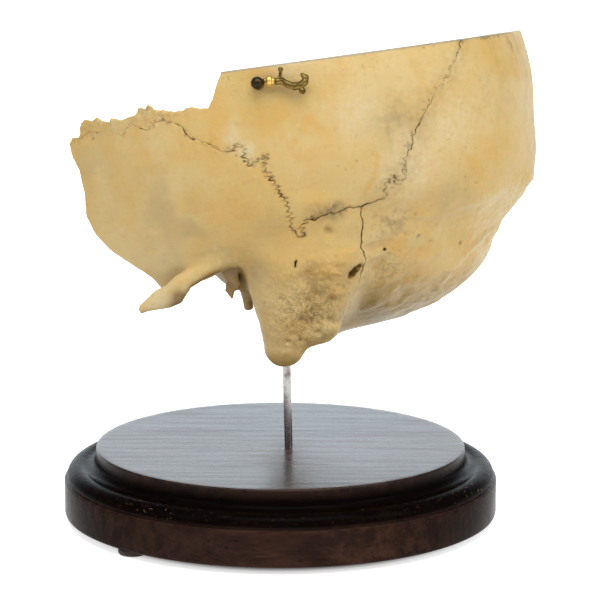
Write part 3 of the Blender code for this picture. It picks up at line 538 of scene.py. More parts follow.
def ear_parts(points):
    """The bony tube of the ear behind its hanging plate, and the stump of the styloid process."""
    x, z = EAR_TUBE
    tube = limb(points, (x, -49, z), (x, -38, z + 2), EAR_TUBE_RADIUS, EAR_TUBE_RADIUS)
    side, half = EAR_PLATE_SIDE
    outline = polygon_field(points[..., 0], points[..., 2], EAR_PLATE)
    plate = kept_inside(outline, np.abs(points[..., 1] - side) - half, 0.7) + 0.22 * noise(points, 1.3)
    stump = limb(points, *STYLOID_STUMP) + 0.3 * noise(points, 1.6)
    return joined(joined(joined(tube, plate, 0.8), limb(points, *EAR_BRIDGE), 1.5), stump, 1.2)


def occipital_base(points):
    """The condyle and the process beside it, under the floor of the braincase."""
    return joined(limb(points, *CONDYLE), limb(points, *JUGULAR_PROCESS), 4.0)


def foramina(points):
    """All the openings that are carved out of the joined bone."""
    x, y, z = points[..., 0], points[..., 1], points[..., 2]
    half_x, half_y = FORAMEN_HALF
    size = np.hypot((x - FORAMEN_CENTRE[0]) / half_x, (y - FORAMEN_CENTRE[1]) / half_y)
    field = np.maximum((size - 1) * half_y, z - FORAMEN_TOP)
    canal_end = (EAR_TUBE[0], -42, EAR_TUBE[1] + 1.5)
    bores = [(EAR_MOUTH, canal_end, EAR_BORE_RADIUS, EAR_BORE_RADIUS), JUGULAR_OPENING, INNER_EAR_OPENING]
    bores += [(start, end, radius, radius) for start, end, radius in SMALL_HOLES]
    for bore in bores:
        field = np.minimum(field, limb(points, *bore))
    return field


def rod_socket(points):
    """The hole that the rod stands in, and the pilot hole of the hook's screw."""
    tip = Vector(MASTOID_TIP)
    axis = skull_turn().transposed() @ (Vector(MASTOID_TIP_PLACE) - Vector(ROD_FOOT)).normalized()
    radius = ROD_RADIUS + SOCKET_ROOM
    hole = limb(points, tuple(tip - axis * 6), tuple(tip + axis * (ROD_SINK - 1)), radius, radius)
    frame_of_hook = hook_frame()
    pin = frame_of_hook.translation / MM
    out = frame_of_hook.to_3x3().col[2]
    pilot = limb(points, tuple(pin - out * SHANK_DEPTH), tuple(pin + out * 3), EYE_BORE, EYE_BORE)
    return np.minimum(hole, pilot)


def skull_field(points):
    """The joined bone before it is sawn and parted."""
    bone = thin_wall(points)
    bone = joined(bone, mastoid(points), 5.0)
    bone = joined(bone, petrous_part(points), 4.0)
    bone = joined(bone, occipital_base(points), 5.0)
    bone = carved(bone, chain(points, SINUS_COURSE, SINUS_RADIUS), 2.0)
    bone = joined(bone, zygomatic_process(points), 2.4)
    bone = joined(bone, ear_parts(points), 1.2)
    bone = carved(bone, foramina(points), 0.7)
    bone = carved(bone, rod_socket(points), 0.3)
    for groove in MENINGEAL_GROOVES:
        bone = carved(bone, chain(points, groove, MENINGEAL_GROOVE_RADIUS), 0.8)
    return bone


def saw_field(points):
    """Above the skullcap cut or past the midline cut, positive."""
    above = points[..., 2] - SAW_FRONT[1] - SAW_SLOPE * (points[..., 0] - SAW_FRONT[0])
    return np.maximum(above, points[..., 1])


def directions(points):
    """Offsets from SUTURE_CENTRE and their lengths."""
    offset = points - vec(SUTURE_CENTRE)
    return offset, np.linalg.norm(offset, axis=-1)


def course_distance(points, course):
    """Distance to the wall that stands on a course and runs in to SUTURE_CENTRE."""
    offset, reach = directions(points)
    ray = offset / reach[..., None]
    corners, _ = directions(vec(course))
    corners = corners / np.linalg.norm(corners, axis=-1)[:, None]
    nearest = np.full(reach.shape, np.inf, np.float32)
    for a, b in zip(corners, corners[1:]):
        share = np.clip((ray - a) @ (b - a) / ((b - a) @ (b - a)), 0, 1)
        nearest = np.minimum(nearest, np.linalg.norm(ray - a - share[..., None] * (b - a), axis=-1))
    return nearest * reach


def side_view(course):
    """A course or field of points as seen from SUTURE_CENTRE, on a plane at the left side."""
    offset = vec(course) - vec(SUTURE_CENTRE)
    depth = np.maximum(-offset[..., 1], 0.05)
    return offset[..., 0] / depth, offset[..., 2] / depth


def side_points(course):
    """A course in the side view, as a list of corners."""
    return list(zip(*(values.tolist() for values in side_view(course))))


def wandering(points, amount):
    """Points shifted by noise, so that a straight cut turns into a bony suture."""
    shifts = [
        0.7 * noise(points, SUTURE_WANDER, 31.0 * i) + noise(points, SUTURE_TEETH, 17.0 * i)
        for i in (1, 2, 3)
    ]
    return points + amount[..., None] * np.stack(shifts, -1)


def suture_points(points):
    """Points moved so that a straight cut through them leans, wanders and interlocks like a bony suture."""
    x, z = points[..., 0], points[..., 2]
    depth = np.clip(-braincase(points), -1, 8)
    lean = smooth_ramp(6, 18, x)
    shift_x, shift_z = (a + (b - a) * lean for a, b in zip(SUTURE_BEVEL_FRONT, SUTURE_BEVEL_REAR))
    points = points + np.stack([depth * shift_x, 0 * depth, depth * shift_z], -1)
    lambdoid = smooth_ramp(46, 58, x) * smooth_ramp(8, 18, z)
    squamosal = smooth_ramp(8, 16, x) * smooth_ramp(44, 34, x) * smooth_ramp(8, 12, z)
    comb = squamosal * np.sin(COMB_TURNS * z + 2.5 * noise(points, 3.0, 60.0))
    weave = lambdoid * smooth_ramp(30, 22, z) * np.sin(WEAVE_TURNS * (x + z) + 2.5 * noise(points, 3.0, 61.0))
    points = wandering(points, 0.4 + 0.5 * lambdoid + 0.25 * squamosal)
    return points + np.stack([0.65 * comb + 0.5 * weave, 0 * depth, -0.5 * weave], -1)


def partition(points):
    """Signed distances to the parietal and occipital regions, negative inside them."""
    points = suture_points(points)
    u, v = side_view(points)
    upper = SQUAMOSAL + PARIETOMASTOID + LAMBDOID
    in_parietal = inside_polygon(u, v, side_points(upper) + PARIETAL_ABOVE)
    lower_u, lower_v = side_points(OCCIPITOMASTOID)[-1]
    beyond = [(lower_u * FAR, lower_v * FAR)] + OCCIPITAL_BEYOND
    rear = side_points(OCCIPITOMASTOID) + beyond + side_points(LAMBDOID[::-1])
    in_occipital = inside_polygon(u, v, rear) & ~in_parietal
    lambdoid_distance = course_distance(points, PARIETOMASTOID[-1:] + LAMBDOID)
    to_parietal = np.minimum(course_distance(points, SQUAMOSAL + PARIETOMASTOID), lambdoid_distance)
    to_occipital = np.minimum(course_distance(points, OCCIPITOMASTOID), lambdoid_distance)
    parietal = np.where(in_parietal, -to_parietal, to_parietal)
    return parietal, np.where(in_occipital, -to_occipital, to_occipital)


def sample_fields(fields, low, high, step):
    """Samples fields on a grid, only in the blocks that the first one's surface or inside may reach."""
    counts = [math.ceil((h - l) / step / BLOCK) for l, h in zip(low, high)]
    axis = np.arange(BLOCK) * step
    local = vec(np.stack(np.meshgrid(axis, axis, axis, indexing="ij"), -1))
    starts = np.stack(np.meshgrid(*(np.arange(n) for n in counts), indexing="ij"), -1).reshape(-1, 3)
    corners = vec(np.array(low) + starts * BLOCK * step)
    middle = (BLOCK - 1) * step / 2
    reach = 1.2 * math.sqrt(3) * middle + 1.6 * step
    coarse = np.concatenate([fields(part + middle)[0] for part in np.array_split(corners, 8)])
    needed = np.nonzero(coarse < reach)[0]
    samples = None
    for batch in np.array_split(needed, max(len(needed) // BATCH, 1)):
        values = fields(corners[batch][:, None, None, None, :] + local)
        if samples is None:
            samples = [np.full([n * BLOCK for n in counts], 9.0, np.float32) for _ in values]
        for n, block in enumerate(batch):
            i, j, k = starts[block] * BLOCK
            for sample, value in zip(samples, values):
                sample[i:i + BLOCK, j:j + BLOCK, k:k + BLOCK] = value[n]
    return samples


def surface(samples, low, step):
    """The zero surface of sampled values, as points in the field's frame and quads."""
    grid = openvdb.FloatGrid(3 * step)
    grid.copyFromArray(np.clip(samples, -3 * step, 3 * step).astype(np.float32))
    corners, quads = grid.convertToQuads(0)
    return np.array(low) + step * corners, quads


def mesh_of(name, points, quads):
    """A smooth mesh of quads, from points in millimetres."""
    mesh = bpy.data.meshes.new(name)
    mesh.vertices.add(len(points))
    mesh.vertices.foreach_set("co", (points * MM).ravel().astype(np.float32))
    mesh.loops.add(4 * len(quads))
    mesh.loops.foreach_set("vertex_index", quads.ravel().astype(np.int32))
    mesh.polygons.add(len(quads))
    mesh.polygons.foreach_set("loop_start", np.arange(0, 4 * len(quads), 4, dtype=np.int32))
    mesh.polygons.foreach_set("use_smooth", np.ones(len(quads), bool))
    mesh.update(calc_edges=True)
    return mesh


def largest_part(points, quads):
    """Leaves out what isn't joined to the largest piece."""
    label = np.arange(len(points))
    edges = np.concatenate([quads[:, [i, (i + 1) % 4]] for i in range(4)])
    while True:
        lowest = np.minimum(label[edges[:, 0]], label[edges[:, 1]])
        before = label.copy()
        np.minimum.at(label, edges[:, 0], lowest)
        np.minimum.at(label, edges[:, 1], lowest)
        label = label[label]
        if (label == before).all():
            break
    names, counts = np.unique(label, return_counts=True)
    keep = label == names[counts.argmax()]
    number = np.cumsum(keep) - 1
    return points[keep], number[quads[keep[quads[:, 0]]]]


def vertex_normals(mesh):
    """The mesh's normals, one row for each vertex."""
    normals = np.empty(3 * len(mesh.vertices), np.float32)
    mesh.vertex_normals.foreach_get("vector", normals)
    return normals.reshape(-1, 3)


def set_attribute(mesh, name, values):
    """Gives each vertex a number that the material reads by this name."""
    layer = mesh.attributes.new(name, "FLOAT", "POINT")
    layer.data.foreach_set("value", np.ascontiguousarray(values, np.float32))


def near(points, place, size):
    """1 at a place, falling to 0 at about twice this size."""
    return np.exp(-((points - np.array(place)) ** 2).sum(-1) / size**2)


def ridge(points, course, width):
    """1 along a course on the surface, falling to 0 at about twice this width from it."""
    return bell(chain(points, course, 0.0), width)


def relief(points, moved, outside):
    """How far the dry bone stands proud in millimetres, with moved as the points that the sutures use."""
    x, y, z = points[..., 0], points[..., 1], points[..., 2]
    rise = 0.08 * fractal(points, 9.0, 3)
    rough = near(points, (21, -57, -13), 12) + near(points, (29, -56, -5), 8)
    rise += np.minimum(rough, 1) * (0.5 * fractal(points, 3.0, 3, 5.0) + 0.14 * noise(points, 0.9, 2.0))
    nuchal = smooth_ramp(10, 3, z - 0.10 * (x - 60)) * smooth_ramp(32, 42, x) * outside
    stretched = points * vec((0.6, 0.6, 1.0))
    rise += nuchal * (0.5 * fractal(stretched, 5.0, 3, 3.0) + 0.16 * noise(stretched, 1.3, 8.0) - 0.1)
    for course, height, width in MUSCLE_RIDGES:
        rise += outside * height * ridge(points, course, width)
    for place, size, depth in HOLLOWS:
        rise -= outside * depth * near(points, place, size)
    upright = noise(points * vec((1.6, 1.6, 0.12)), 1.3, 4.0)
    rise += outside * 0.2 * upright * smooth_ramp(68, 78, x) * smooth_ramp(14, 6, z)
    fill, fill_width = SUTURE_FILL
    closed_parts = [
        (OCCIPITOMASTOID, smooth_ramp(12, 9, z) * smooth_ramp(30, 34, x)),
        (LAMBDOID, smooth_ramp(22, 28, z) * (0.3 + 0.7 * smooth_ramp(-0.3, 0.3, noise(points, 2.2, 33.0)))),
        (SQUAMOSAL, smooth_ramp(0, -6, x) * (0.4 + 0.6 * smooth_ramp(-0.3, 0.3, noise(points, 2.2, 34.0)))),
    ]
    for course, closed in closed_parts:
        rise += closed * fill * bell(course_distance(moved, course), fill_width) * outside
    squamosal = bell(course_distance(points, SQUAMOSAL), 3.5) * outside
    rise += squamosal * 0.16 * fractal(points * vec((1.0, 1.0, 0.45)), 1.9, 2, 9.0)
    lambdoid = bell(course_distance(points, LAMBDOID), 3.0) * outside
    rise += lambdoid * 0.15 * fractal(points, 1.6, 2, 7.0)
    inner = (1 - outside) * smooth_ramp(20, 30, z + x * 0.1)
    rise += inner * 0.35 * fractal(points, 11.0, 2, 6.0)
    rise += smooth_ramp(46, 49.5, z) * smooth_ramp(8, 0, x) * 0.22 * fractal(points, 1.8, 2, 4.0)
    for place, size in PITS:
        rise -= PIT_DEPTH * size * near(points, place, size)
    return rise


def skull_turn():
    """The turn from the skull's own frame to its pose on the rod."""
    return (
        Matrix.Rotation(math.radians(-YAW), 3, "Z")
        @ Matrix.Rotation(math.radians(-ROLL), 3, "X")
        @ Matrix.Rotation(math.radians(-PITCH), 3, "Y")
    )


def skull_pose():
    """The skull's place and turn in the scene, in metres."""
    turn = skull_turn()
    place = Vector(MASTOID_TIP_PLACE) - turn @ Vector(MASTOID_TIP)
    return Matrix.Translation(place * MM) @ turn.to_4x4()


def hook_frame():
    """The hook's own frame in the skull's: X along the bone from the screw, Z out of the bone."""
    pin = np.array(HOOK_PIN)
    step = 0.5
    for _ in range(6):
        slope = np.array([
            (braincase(pin + step * axis) - braincase(pin - step * axis)) / (2 * step) for axis in np.eye(3)
        ])
        pin = pin - slope * braincase(pin) / (slope @ slope)
    out = Vector(slope).normalized()
    along = Vector(HOOK_TOWARDS) - Vector(pin)
    along = (along - along.dot(out) * out).normalized()
    up = out.cross(along)
    frame_of_hook = Matrix((along, up, out)).transposed().to_4x4()
    return Matrix.Translation(Vector(pin) * MM) @ frame_of_hook


def srgb(red, green, blue):
    """A colour given as seen on a screen, 0 to 255, as linear light."""
    shares = (channel / 255 for channel in (red, green, blue))
    return tuple(s / 12.92 if s <= 0.04045 else ((s + 0.055) / 1.055) ** 2.4 for s in shares)


class Shading:
    """A material whose nodes are added one call at a time."""

    def __init__(self, name, **settings):
        self.material = bpy.data.materials.new(name)
        self.material.use_nodes = True
        self.tree = self.material.node_tree
        self.shader = self.tree.nodes["Principled BSDF"]
        self.set(**settings)

    def set(self, **settings):
        for name, value in settings.items():
            self.put(self.shader.inputs[name.replace("_", " ")], value)

    def put(self, socket, value):
        if isinstance(value, bpy.types.NodeSocket):
            self.tree.links.new(value, socket)
        elif isinstance(value, tuple) and socket.type == "RGBA":
            socket.default_value = (*value[:3], 1.0)
        else:
            socket.default_value = value

    def node(self, kind, sockets, output=0, **settings):
        node = self.tree.nodes.new(kind)
        for name, value in settings.items():
            setattr(node, name, value)
        for key, value in sockets.items():
            self.put(node.inputs[key], value)
        return node.outputs[output]

    def place(self, scale=(1.0, 1.0, 1.0), turn=(0.0, 0.0, 0.0)):
        """Object coordinates, in metres unless scaled."""
        where = self.node("ShaderNodeTexCoord", {}, "Object")
        turn = tuple(math.radians(angle) for angle in turn)
        return self.node("ShaderNodeMapping", {"Vector": where, "Scale": scale, "Rotation": turn})

    def noise(self, place, size, detail=3.0, roughness=0.55, distortion=0.0):
        """Noise whose bumps are about this many millimetres."""
        sockets = {
            "Vector": place, "Scale": 1 / (size * MM), "Detail": detail, "Roughness": roughness,
            "Distortion": distortion,
        }
        return self.node("ShaderNodeTexNoise", sockets, "Fac")

    def ramp(self, value, low, high, start=0.0, end=1.0):
        """A number that goes from start to end while value goes from low to high, held beyond."""
        sockets = {"Value": value, "From Min": low, "From Max": high, "To Min": start, "To Max": end}
        return self.node("ShaderNodeMapRange", sockets, interpolation_type="SMOOTHSTEP")

    def sum(self, a, b, operation="ADD"):
        return self.node("ShaderNodeMath", {0: a, 1: b}, operation=operation)

    def times(self, a, b):
        return self.sum(a, b, "MULTIPLY")

    def mix(self, share, a, b, blend="MIX"):
        """Two colours mixed."""
        sockets = {0: share, 6: a, 7: b}
        return self.node("ShaderNodeMix", sockets, 2, data_type="RGBA", blend_type=blend)

    def attribute(self, name):
        return self.node("ShaderNodeAttribute", {}, "Fac", attribute_name=name)

    def bump(self, height, distance, below=None):
        """Fine relief, where distance is the height in millimetres of a change from 0 to 1."""
        sockets = {"Height": height, "Distance": distance * MM, "Strength": 1.0}
        if below:
            sockets["Normal"] = below
        return self.node("ShaderNodeBump", sockets)


def bone_tone(name):
    """A tone of bone as it looks in full studio light, turned into the share of light it gives back."""
    return tuple(BONE_BRIGHTNESS * channel for channel in srgb(*BONE_TONES[name]))


def bone_material():
    """Dry, handled bone in cream and straw yellow, stained along the sutures, with painted shade in holes,
    pits and hollows.
    """
    s = Shading("aged_bone")
    place = s.place()
    broad = s.noise(place, 26, 3.0, 0.5)
    patchy = s.noise(place, 9, 4.0, 0.6)
    fine = s.noise(place, 1.6, 4.0, 0.6)
    streaky = s.noise(s.place((0.5, 0.5, 1.6), (0, 20, 0)), 5, 4.0, 0.6, 0.6)
    upright = s.noise(s.place((1.0, 1.0, 0.08)), 0.9, 3.0, 0.6, 0.3)
    # The pale tone is partly painted highlight.
    pale_and_highlight = s.times(s.attribute("pale_and_highlight"), s.ramp(fine, 0.25, 0.7, 1.0, 0.5))
    pale_and_highlight = s.sum(pale_and_highlight, s.times(s.attribute("striped"), s.ramp(upright, 0.42, 0.58)), "MAXIMUM")
    wisp = s.noise(s.place((1.0, 1.0, 0.8), (20, 30, 0)), 2.4, 6.0, 0.7, 1.5)
    from_line = s.node("ShaderNodeMath", {0: s.sum(wisp, -0.5)}, operation="ABSOLUTE")
    sponge = s.node("ShaderNodeTexVoronoi", {"Vector": place, "Scale": 1 / (0.95 * MM), "Randomness": 1.0})
    spongy = s.times(s.attribute("spongy"), s.ramp(sponge, 0.25, 0.5, 1.0, 0.0))
    layers = [
        ("straw", s.ramp(broad, 0.35, 0.68)),
        ("amber", s.ramp(patchy, 0.48, 0.75, 0.0, 0.45)),
        ("tan", s.ramp(streaky, 0.55, 0.8, 0.0, 0.3)),
        ("umber", s.ramp(fine, 0.52, 0.75, 0.0, 0.16)),
        ("ivory", s.ramp(fine, 0.28, 0.42, 0.2, 0.0)),
        ("warm", s.times(s.attribute("warm"), s.ramp(patchy, 0.25, 0.7, 0.55, 1.0))),
        ("pale_and_highlight", pale_and_highlight),
        # The grey tone here is partly painted shade.
        ("grey_and_shade", s.times(s.attribute("grey_and_shade"), s.ramp(patchy, 0.3, 0.7, 1.0, 0.5))),
        # This dark tone paints dirt, and also shade in holes, pits and hollows.
        ("dirt_and_shade", s.times(s.attribute("stain_and_shade"), s.ramp(fine, 0.3, 0.6, 0.5, 1.1))),
        ("wisps", s.times(s.attribute("wisps"), s.ramp(from_line, 0.035, 0.0))),
        ("rim", s.attribute("rim")),
        # Brown paints shade under and along the zygomatic process and by the ear opening.
        ("brown", s.attribute("brown")),
        ("cut", s.times(s.attribute("cut"), 0.75)),
        ("pores", s.times(spongy, 0.8)),
    ]
    colour = bone_tone("cream")
    for name, share in layers:
        colour = s.mix(share, colour, bone_tone(name))
    height = s.sum(s.times(fine, 0.12), s.times(s.noise(place, 0.45, 3.0, 0.6), 0.06))
    height = s.sum(height, s.times(s.noise(s.place((1.0, 1.0, 0.35), (0, 15, 0)), 0.9, 2.0), 0.08))
    s.set(
        Base_Color=colour,
        Roughness=s.sum(s.ramp(patchy, 0.3, 0.7, 0.40, 0.52), s.times(s.attribute("rough"), 0.15)),
        Normal=s.bump(s.times(spongy, -1.0), 0.5, s.bump(height, 1.0)),
        Subsurface_Weight=0.08,
        Subsurface_Radius=(1.0, 0.55, 0.25),
        Subsurface_Scale=0.0015,
        IOR=1.5,
    )
    return s.material


def wood_material():
    """Dark stained walnut under a semi-gloss lacquer, with flecks on the moulding, partly wear and partly
    painted glint.
    """
    s = Shading("dark_lacquered_walnut")
    slant = (0, 0, GRAIN_SLANT)
    grain = s.noise(s.place((0.07, 1.0, 0.5), slant), 2.2, 6.0, 0.65, 0.3)
    pores = s.noise(s.place((0.05, 1.0, 0.6), slant), 0.55, 3.0, 0.7)
    broad = s.noise(s.place((0.4, 1.0, 1.0), slant), 30, 2.0)
    place = s.place()
    # Light flecks, partly wear of the lacquer and partly painted glint.
    worn_and_glint = s.times(s.attribute("worn_and_glint"), s.ramp(s.noise(place, 1.1, 4.0, 0.7), 0.60, 0.66))
    # dark is painted shade: the moulding near black and the side darker towards its ends.
    dark = s.attribute("dark")
    layers = [
        (s.ramp(grain, 0.35, 0.68), (60, 39, 29)),
        (s.ramp(broad, 0.4, 0.7, 0.0, 0.5), (40, 27, 22)),
        (s.ramp(pores, 0.56, 0.70, 0.0, 0.7), (10, 6, 5)),
        (dark, (3, 2, 2)),
        (worn_and_glint, (142, 108, 78)),
    ]
    colour = srgb(36, 22, 17)
    for share, tone in layers:
        colour = s.mix(share, colour, srgb(*tone))
    relief_nodes = s.bump(s.sum(s.times(grain, 0.25), s.times(pores, -0.35)), 0.12)
    s.set(
        Base_Color=colour,
        Roughness=s.sum(s.ramp(grain, 0.35, 0.7, 0.22, 0.32), s.times(worn_and_glint, 0.25)),
        Normal=s.bump(s.noise(place, 7, 2.0), 0.05, relief_nodes),
        IOR=s.sum(s.ramp(s.attribute("matt"), 0.0, 1.0, 1.23, 1.09), s.times(dark, -0.035)),
    )
    return s.material


def rubber_material():
    """Dark brown rubber, matt and faintly speckled."""
    s = Shading("dark_rubber", Roughness=0.75)
    speckle = s.noise(s.place(), 0.8, 4.0, 0.6)
    s.set(
        Base_Color=s.mix(s.ramp(speckle, 0.4, 0.7), srgb(34, 20, 15), srgb(56, 34, 25)),
        Normal=s.bump(speckle, 0.05),
    )
    return s.material


def steel_material():
    """A drawn rod, with fine lines along it and a few dull patches."""
    s = Shading("drawn_steel", Metallic=1.0)
    lines = s.noise(s.place((1.0, 1.0, 0.04)), 0.25, 4.0, 0.6)
    dull = s.noise(s.place(), 2.5, 4.0, 0.65)
    s.set(
        Base_Color=s.mix(s.ramp(dull, 0.4, 0.75), srgb(196, 193, 190), srgb(140, 128, 118)),
        Roughness=s.ramp(dull, 0.3, 0.7, 0.16, 0.34),
        Normal=s.bump(lines, 0.015),
    )
    return s.material


def brass_material():
    """Old brass, brown in the hollows, bright where polished by use, and bright too where a highlight is
    painted.
    """
    s = Shading("antique_brass", Metallic=1.0)
    tarnish = s.noise(s.place(), 1.1, 5.0, 0.65)
    dark = s.mix(s.ramp(tarnish, 0.35, 0.65), srgb(124, 102, 54), srgb(84, 68, 36))
    bright = s.mix(s.ramp(tarnish, 0.5, 0.8), srgb(250, 208, 112), srgb(196, 156, 72))
    brass = s.mix(s.attribute("rubbed_and_highlight"), dark, bright)
    s.set(
        Base_Color=s.mix(s.attribute("blackened"), brass, srgb(38, 36, 30)),
        Roughness=s.ramp(tarnish, 0.3, 0.7, 0.32, 0.5),
        Normal=s.bump(tarnish, 0.05),
    )
    return s.material


def add_piece(name, mesh, mat, bodies, nodes):
    """Puts a piece in the scene in place of CAD nodes."""
    obj = bpy.data.objects.new(name, mesh)
    bpy.context.scene.collection.objects.link(obj)
    if not mesh.materials:
        mesh.materials.append(mat)
    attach(obj, bodies)
    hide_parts(*nodes)
    return obj


def strongest(masks):
    """The greatest of several masks at each point."""
    return np.maximum.reduce(list(masks))


def suture_stains(points, moved):
    """Dirt and warm colour along the sutures, with moved as the points that the sutures use."""
    x, z = points[..., 0], points[..., 2]
    broken = smooth_ramp(-0.2, 0.45, noise(points, 1.3, 12.0))
    specks = smooth_ramp(0.2, 0.55, noise(points, 0.8, 50.0))
    lambdoid = course_distance(moved, PARIETOMASTOID[-1:] + LAMBDOID)
    squamosal = course_distance(moved, SQUAMOSAL)
    parietomastoid = course_distance(moved, PARIETOMASTOID)
    occipitomastoid = course_distance(moved, OCCIPITOMASTOID)
    rear = 0.05 + 0.77 * smooth_ramp(2, 14, x)
    stain_and_shade = strongest([
        (0.25 + 0.6 * broken) * bell(lambdoid, 0.45) * smooth_ramp(66, 56, x),
        0.25 * broken * bell(lambdoid, 0.5),
        0.6 * specks * bell(lambdoid, 1.5) * smooth_ramp(12, 22, z),
        0.14 * bell(lambdoid, 3.5),
        rear * (0.25 + 0.75 * broken) * bell(squamosal, 0.45),
        0.55 * specks * bell(squamosal, 0.9) * smooth_ramp(-12, -6, x),
        (0.3 + 0.5 * broken) * bell(parietomastoid, 0.6),
        0.2 * broken * bell(occipitomastoid, 0.4) * smooth_ramp(-6, 0, z),
    ])
    patchy = smooth_ramp(-0.4, 0.4, noise(points, 2.0, 5.0))
    return stain_and_shade, 0.5 * bell(np.minimum(squamosal, parietomastoid), 2.5) * patchy


def paint(mesh, points, moved, outside):
    """Stains, wear, painted shade and highlights as vertex attributes, with moved as the points the sutures
    use.
    """
    x, y, z = points[..., 0], points[..., 1], points[..., 2]
    stain_and_shade, warm_sutures = suture_stains(points, moved)
    # Darker spots on the parietomastoid suture.
    dark_spot = near(points * vec((0.75, 0.8, 1)), (27.3, -50.4, 13.4), 2.4)
    dark_spot += 0.4 * near(points, (31, -63, 14), 3)
    blotches = near(points, (47, -55, 6.5), 5) + near(points, (53, -52, 6), 4)
    rough = near(points, *MASTOID_ROUGHNESS)
    hairs = smooth_ramp(0.35, 0.8, fractal(points * vec((1, 1, 0.8)), 1.3, 2, 15.0))
    root_shade = near(points, (7, -61, 3), 5) + near(points, (2, -63, 7), 4)
    spots = smooth_ramp(0.62, 0.8, noise(points, 0.9, 21.0))
    spots *= smooth_ramp(0.2, 0.6, noise(points, 14.0, 22.0))
    streaks = smooth_ramp(-0.1, 0.9, fractal(points * vec((1.3, 1.3, 0.55)), 3.4, 4, 2.0))
    fringe = smooth_ramp(50, 54, z) * smooth_ramp(9, 3, x)
    below_saw = saw_field(points)
    left_side = smooth_ramp(-10, -20, y)
    dots = smooth_ramp(0.1, 0.5, noise(points, 1.2, 40.0)) * smooth_ramp(60, 74, x)
    stain_and_shade = strongest([
        stain_and_shade,
        1.15 * dark_spot * (0.6 + 0.4 * smooth_ramp(-0.2, 0.5, noise(points, 1.3))),
        # Painted shade in the mouths of the small holes and in the pits.
        *(0.8 * near(points, start, 1.5 * radius + 0.2) for start, _, radius in SMALL_HOLES),
        *(0.75 * near(points, place, 0.9 * size) for place, size in PITS),
        # Darker patches, painted shade round the mastoid foramen among them.
        *(share * near(points, place, size) for place, size, share in DARK_PATCHES),
        0.38 * blotches * smooth_ramp(-0.4, 0.7, fractal(points, 1.6, 3, 44.0)),
        0.42 * rough * smooth_ramp(0.25, -0.6, fractal(points, 3.0, 3, 5.0)),
        0.5 * rough * hairs,
        # Painted shade low on the underside, behind the mastoid.
        0.42 * smooth_ramp(-8, -22, z) * smooth_ramp(26, 34, x),
        # Painted shade under the root of the zygomatic process.
        0.16 * root_shade * outside,
        0.25 * spots,
        0.42 * streaks * near(points, (90, -16, 46), 9),
        0.1 * streaks * smooth_ramp(76, 86, x) * smooth_ramp(8, 30, z),
        # Painted shade in the shallow hollow beside the lambdoid suture.
        0.2 * near(points, (60, -56, 35), 8) * smooth_ramp(-0.3, 0.5, fractal(points, 2.0, 2, 30.0)),
        0.3 * fringe * smooth_ramp(0.0, 0.6, noise(points, 1.8, 3.0)),
        0.7 * dots * smooth_ramp(-1.6, -0.6, below_saw) * left_side,
    ])
    patchy = smooth_ramp(-0.5, 0.4, fractal(points, 5.0, 2))
    warm = strongest([
        warm_sutures,
        0.8 * ridge(points, *VESSEL),
        0.35 * smooth_ramp(-0.1, 0.7, noise(points, 8.0, 6.0)),
        *(share * near(points, place, size) * patchy for place, size, share in WARM_PATCHES),
    ])
    patchy = smooth_ramp(-0.7, 0.3, fractal(points, 6.0, 2, 8))
    # Grey patches, partly painted shade.
    grey_and_shade = strongest(share * near(points, place, size) * patchy for place, size, share in GREY_AND_SHADE_PATCHES)
    striped = 0.5 * smooth_ramp(66, 78, x) * smooth_ramp(10, 4, z) * outside
    pale_and_highlight = strongest([
        0.25 * striped,
        # Painted highlight along the crest.
        0.8 * ridge(points, HIGHLIT_CREST, 0.9) * outside,
        *(share * near(points, place, size) for place, size, share in PALE_AND_HIGHLIGHT_PATCHES),
    ])
    wisps = strongest([
        0.85 * near(points, (21, -57, -14), 10),
        0.45 * near(points, (44, -46, -8), 9),
        0.3 * smooth_ramp(48, 51, z) * smooth_ramp(9, 3, x),
    ])
    # Painted shade: brown under the zygomatic process, on its lower side and edge, and by the ear opening.
    below_process = smooth_ramp(8, 6, z) * smooth_ramp(-57.5, -56, y) * smooth_ramp(-20, -28, y)
    below_process *= smooth_ramp(5.5, 4, x) * smooth_ramp(-14, -10, x)
    brown = strongest([
        1.3 * near(points, (-13.4, -64, -1.0), 2.4) + 0.8 * near(points, (-16, -63, -3.8), 2.5),
        below_process * (0.75 + 0.25 * smooth_ramp(0, 4, z)),
        0.25 * near(points, (2.4, -49, -3), 4.0),
        ridge(points, *PROCESS_EDGE),
    ])
    cut = smooth_ramp(0.12, 0.05, np.abs(below_saw))
    depth = -braincase(points)
    thick = wall_thickness(points)
    between_tables = smooth_ramp(1.1, 1.5, depth) * smooth_ramp(0.9, 1.3, thick - depth)
    attributes = {
        "stain_and_shade": stain_and_shade,
        "warm": warm * outside,
        "grey_and_shade": np.maximum(grey_and_shade * outside, 0.12 * rough),
        "pale_and_highlight": pale_and_highlight,
        "rough": rough + fringe,
        "striped": striped,
        "wisps": wisps * outside,
        "rim": smooth_ramp(-0.75, -0.25, below_saw) * left_side * (0.75 + 0.25 * dots),
        "brown": 0.8 * np.clip(brown, 0, 1),
        "cut": cut,
        "spongy": cut * between_tables * smooth_ramp(2.5, 3.5, thick),
    }
    for name, values in attributes.items():
        set_attribute(mesh, name, np.clip(values, 0, 1))


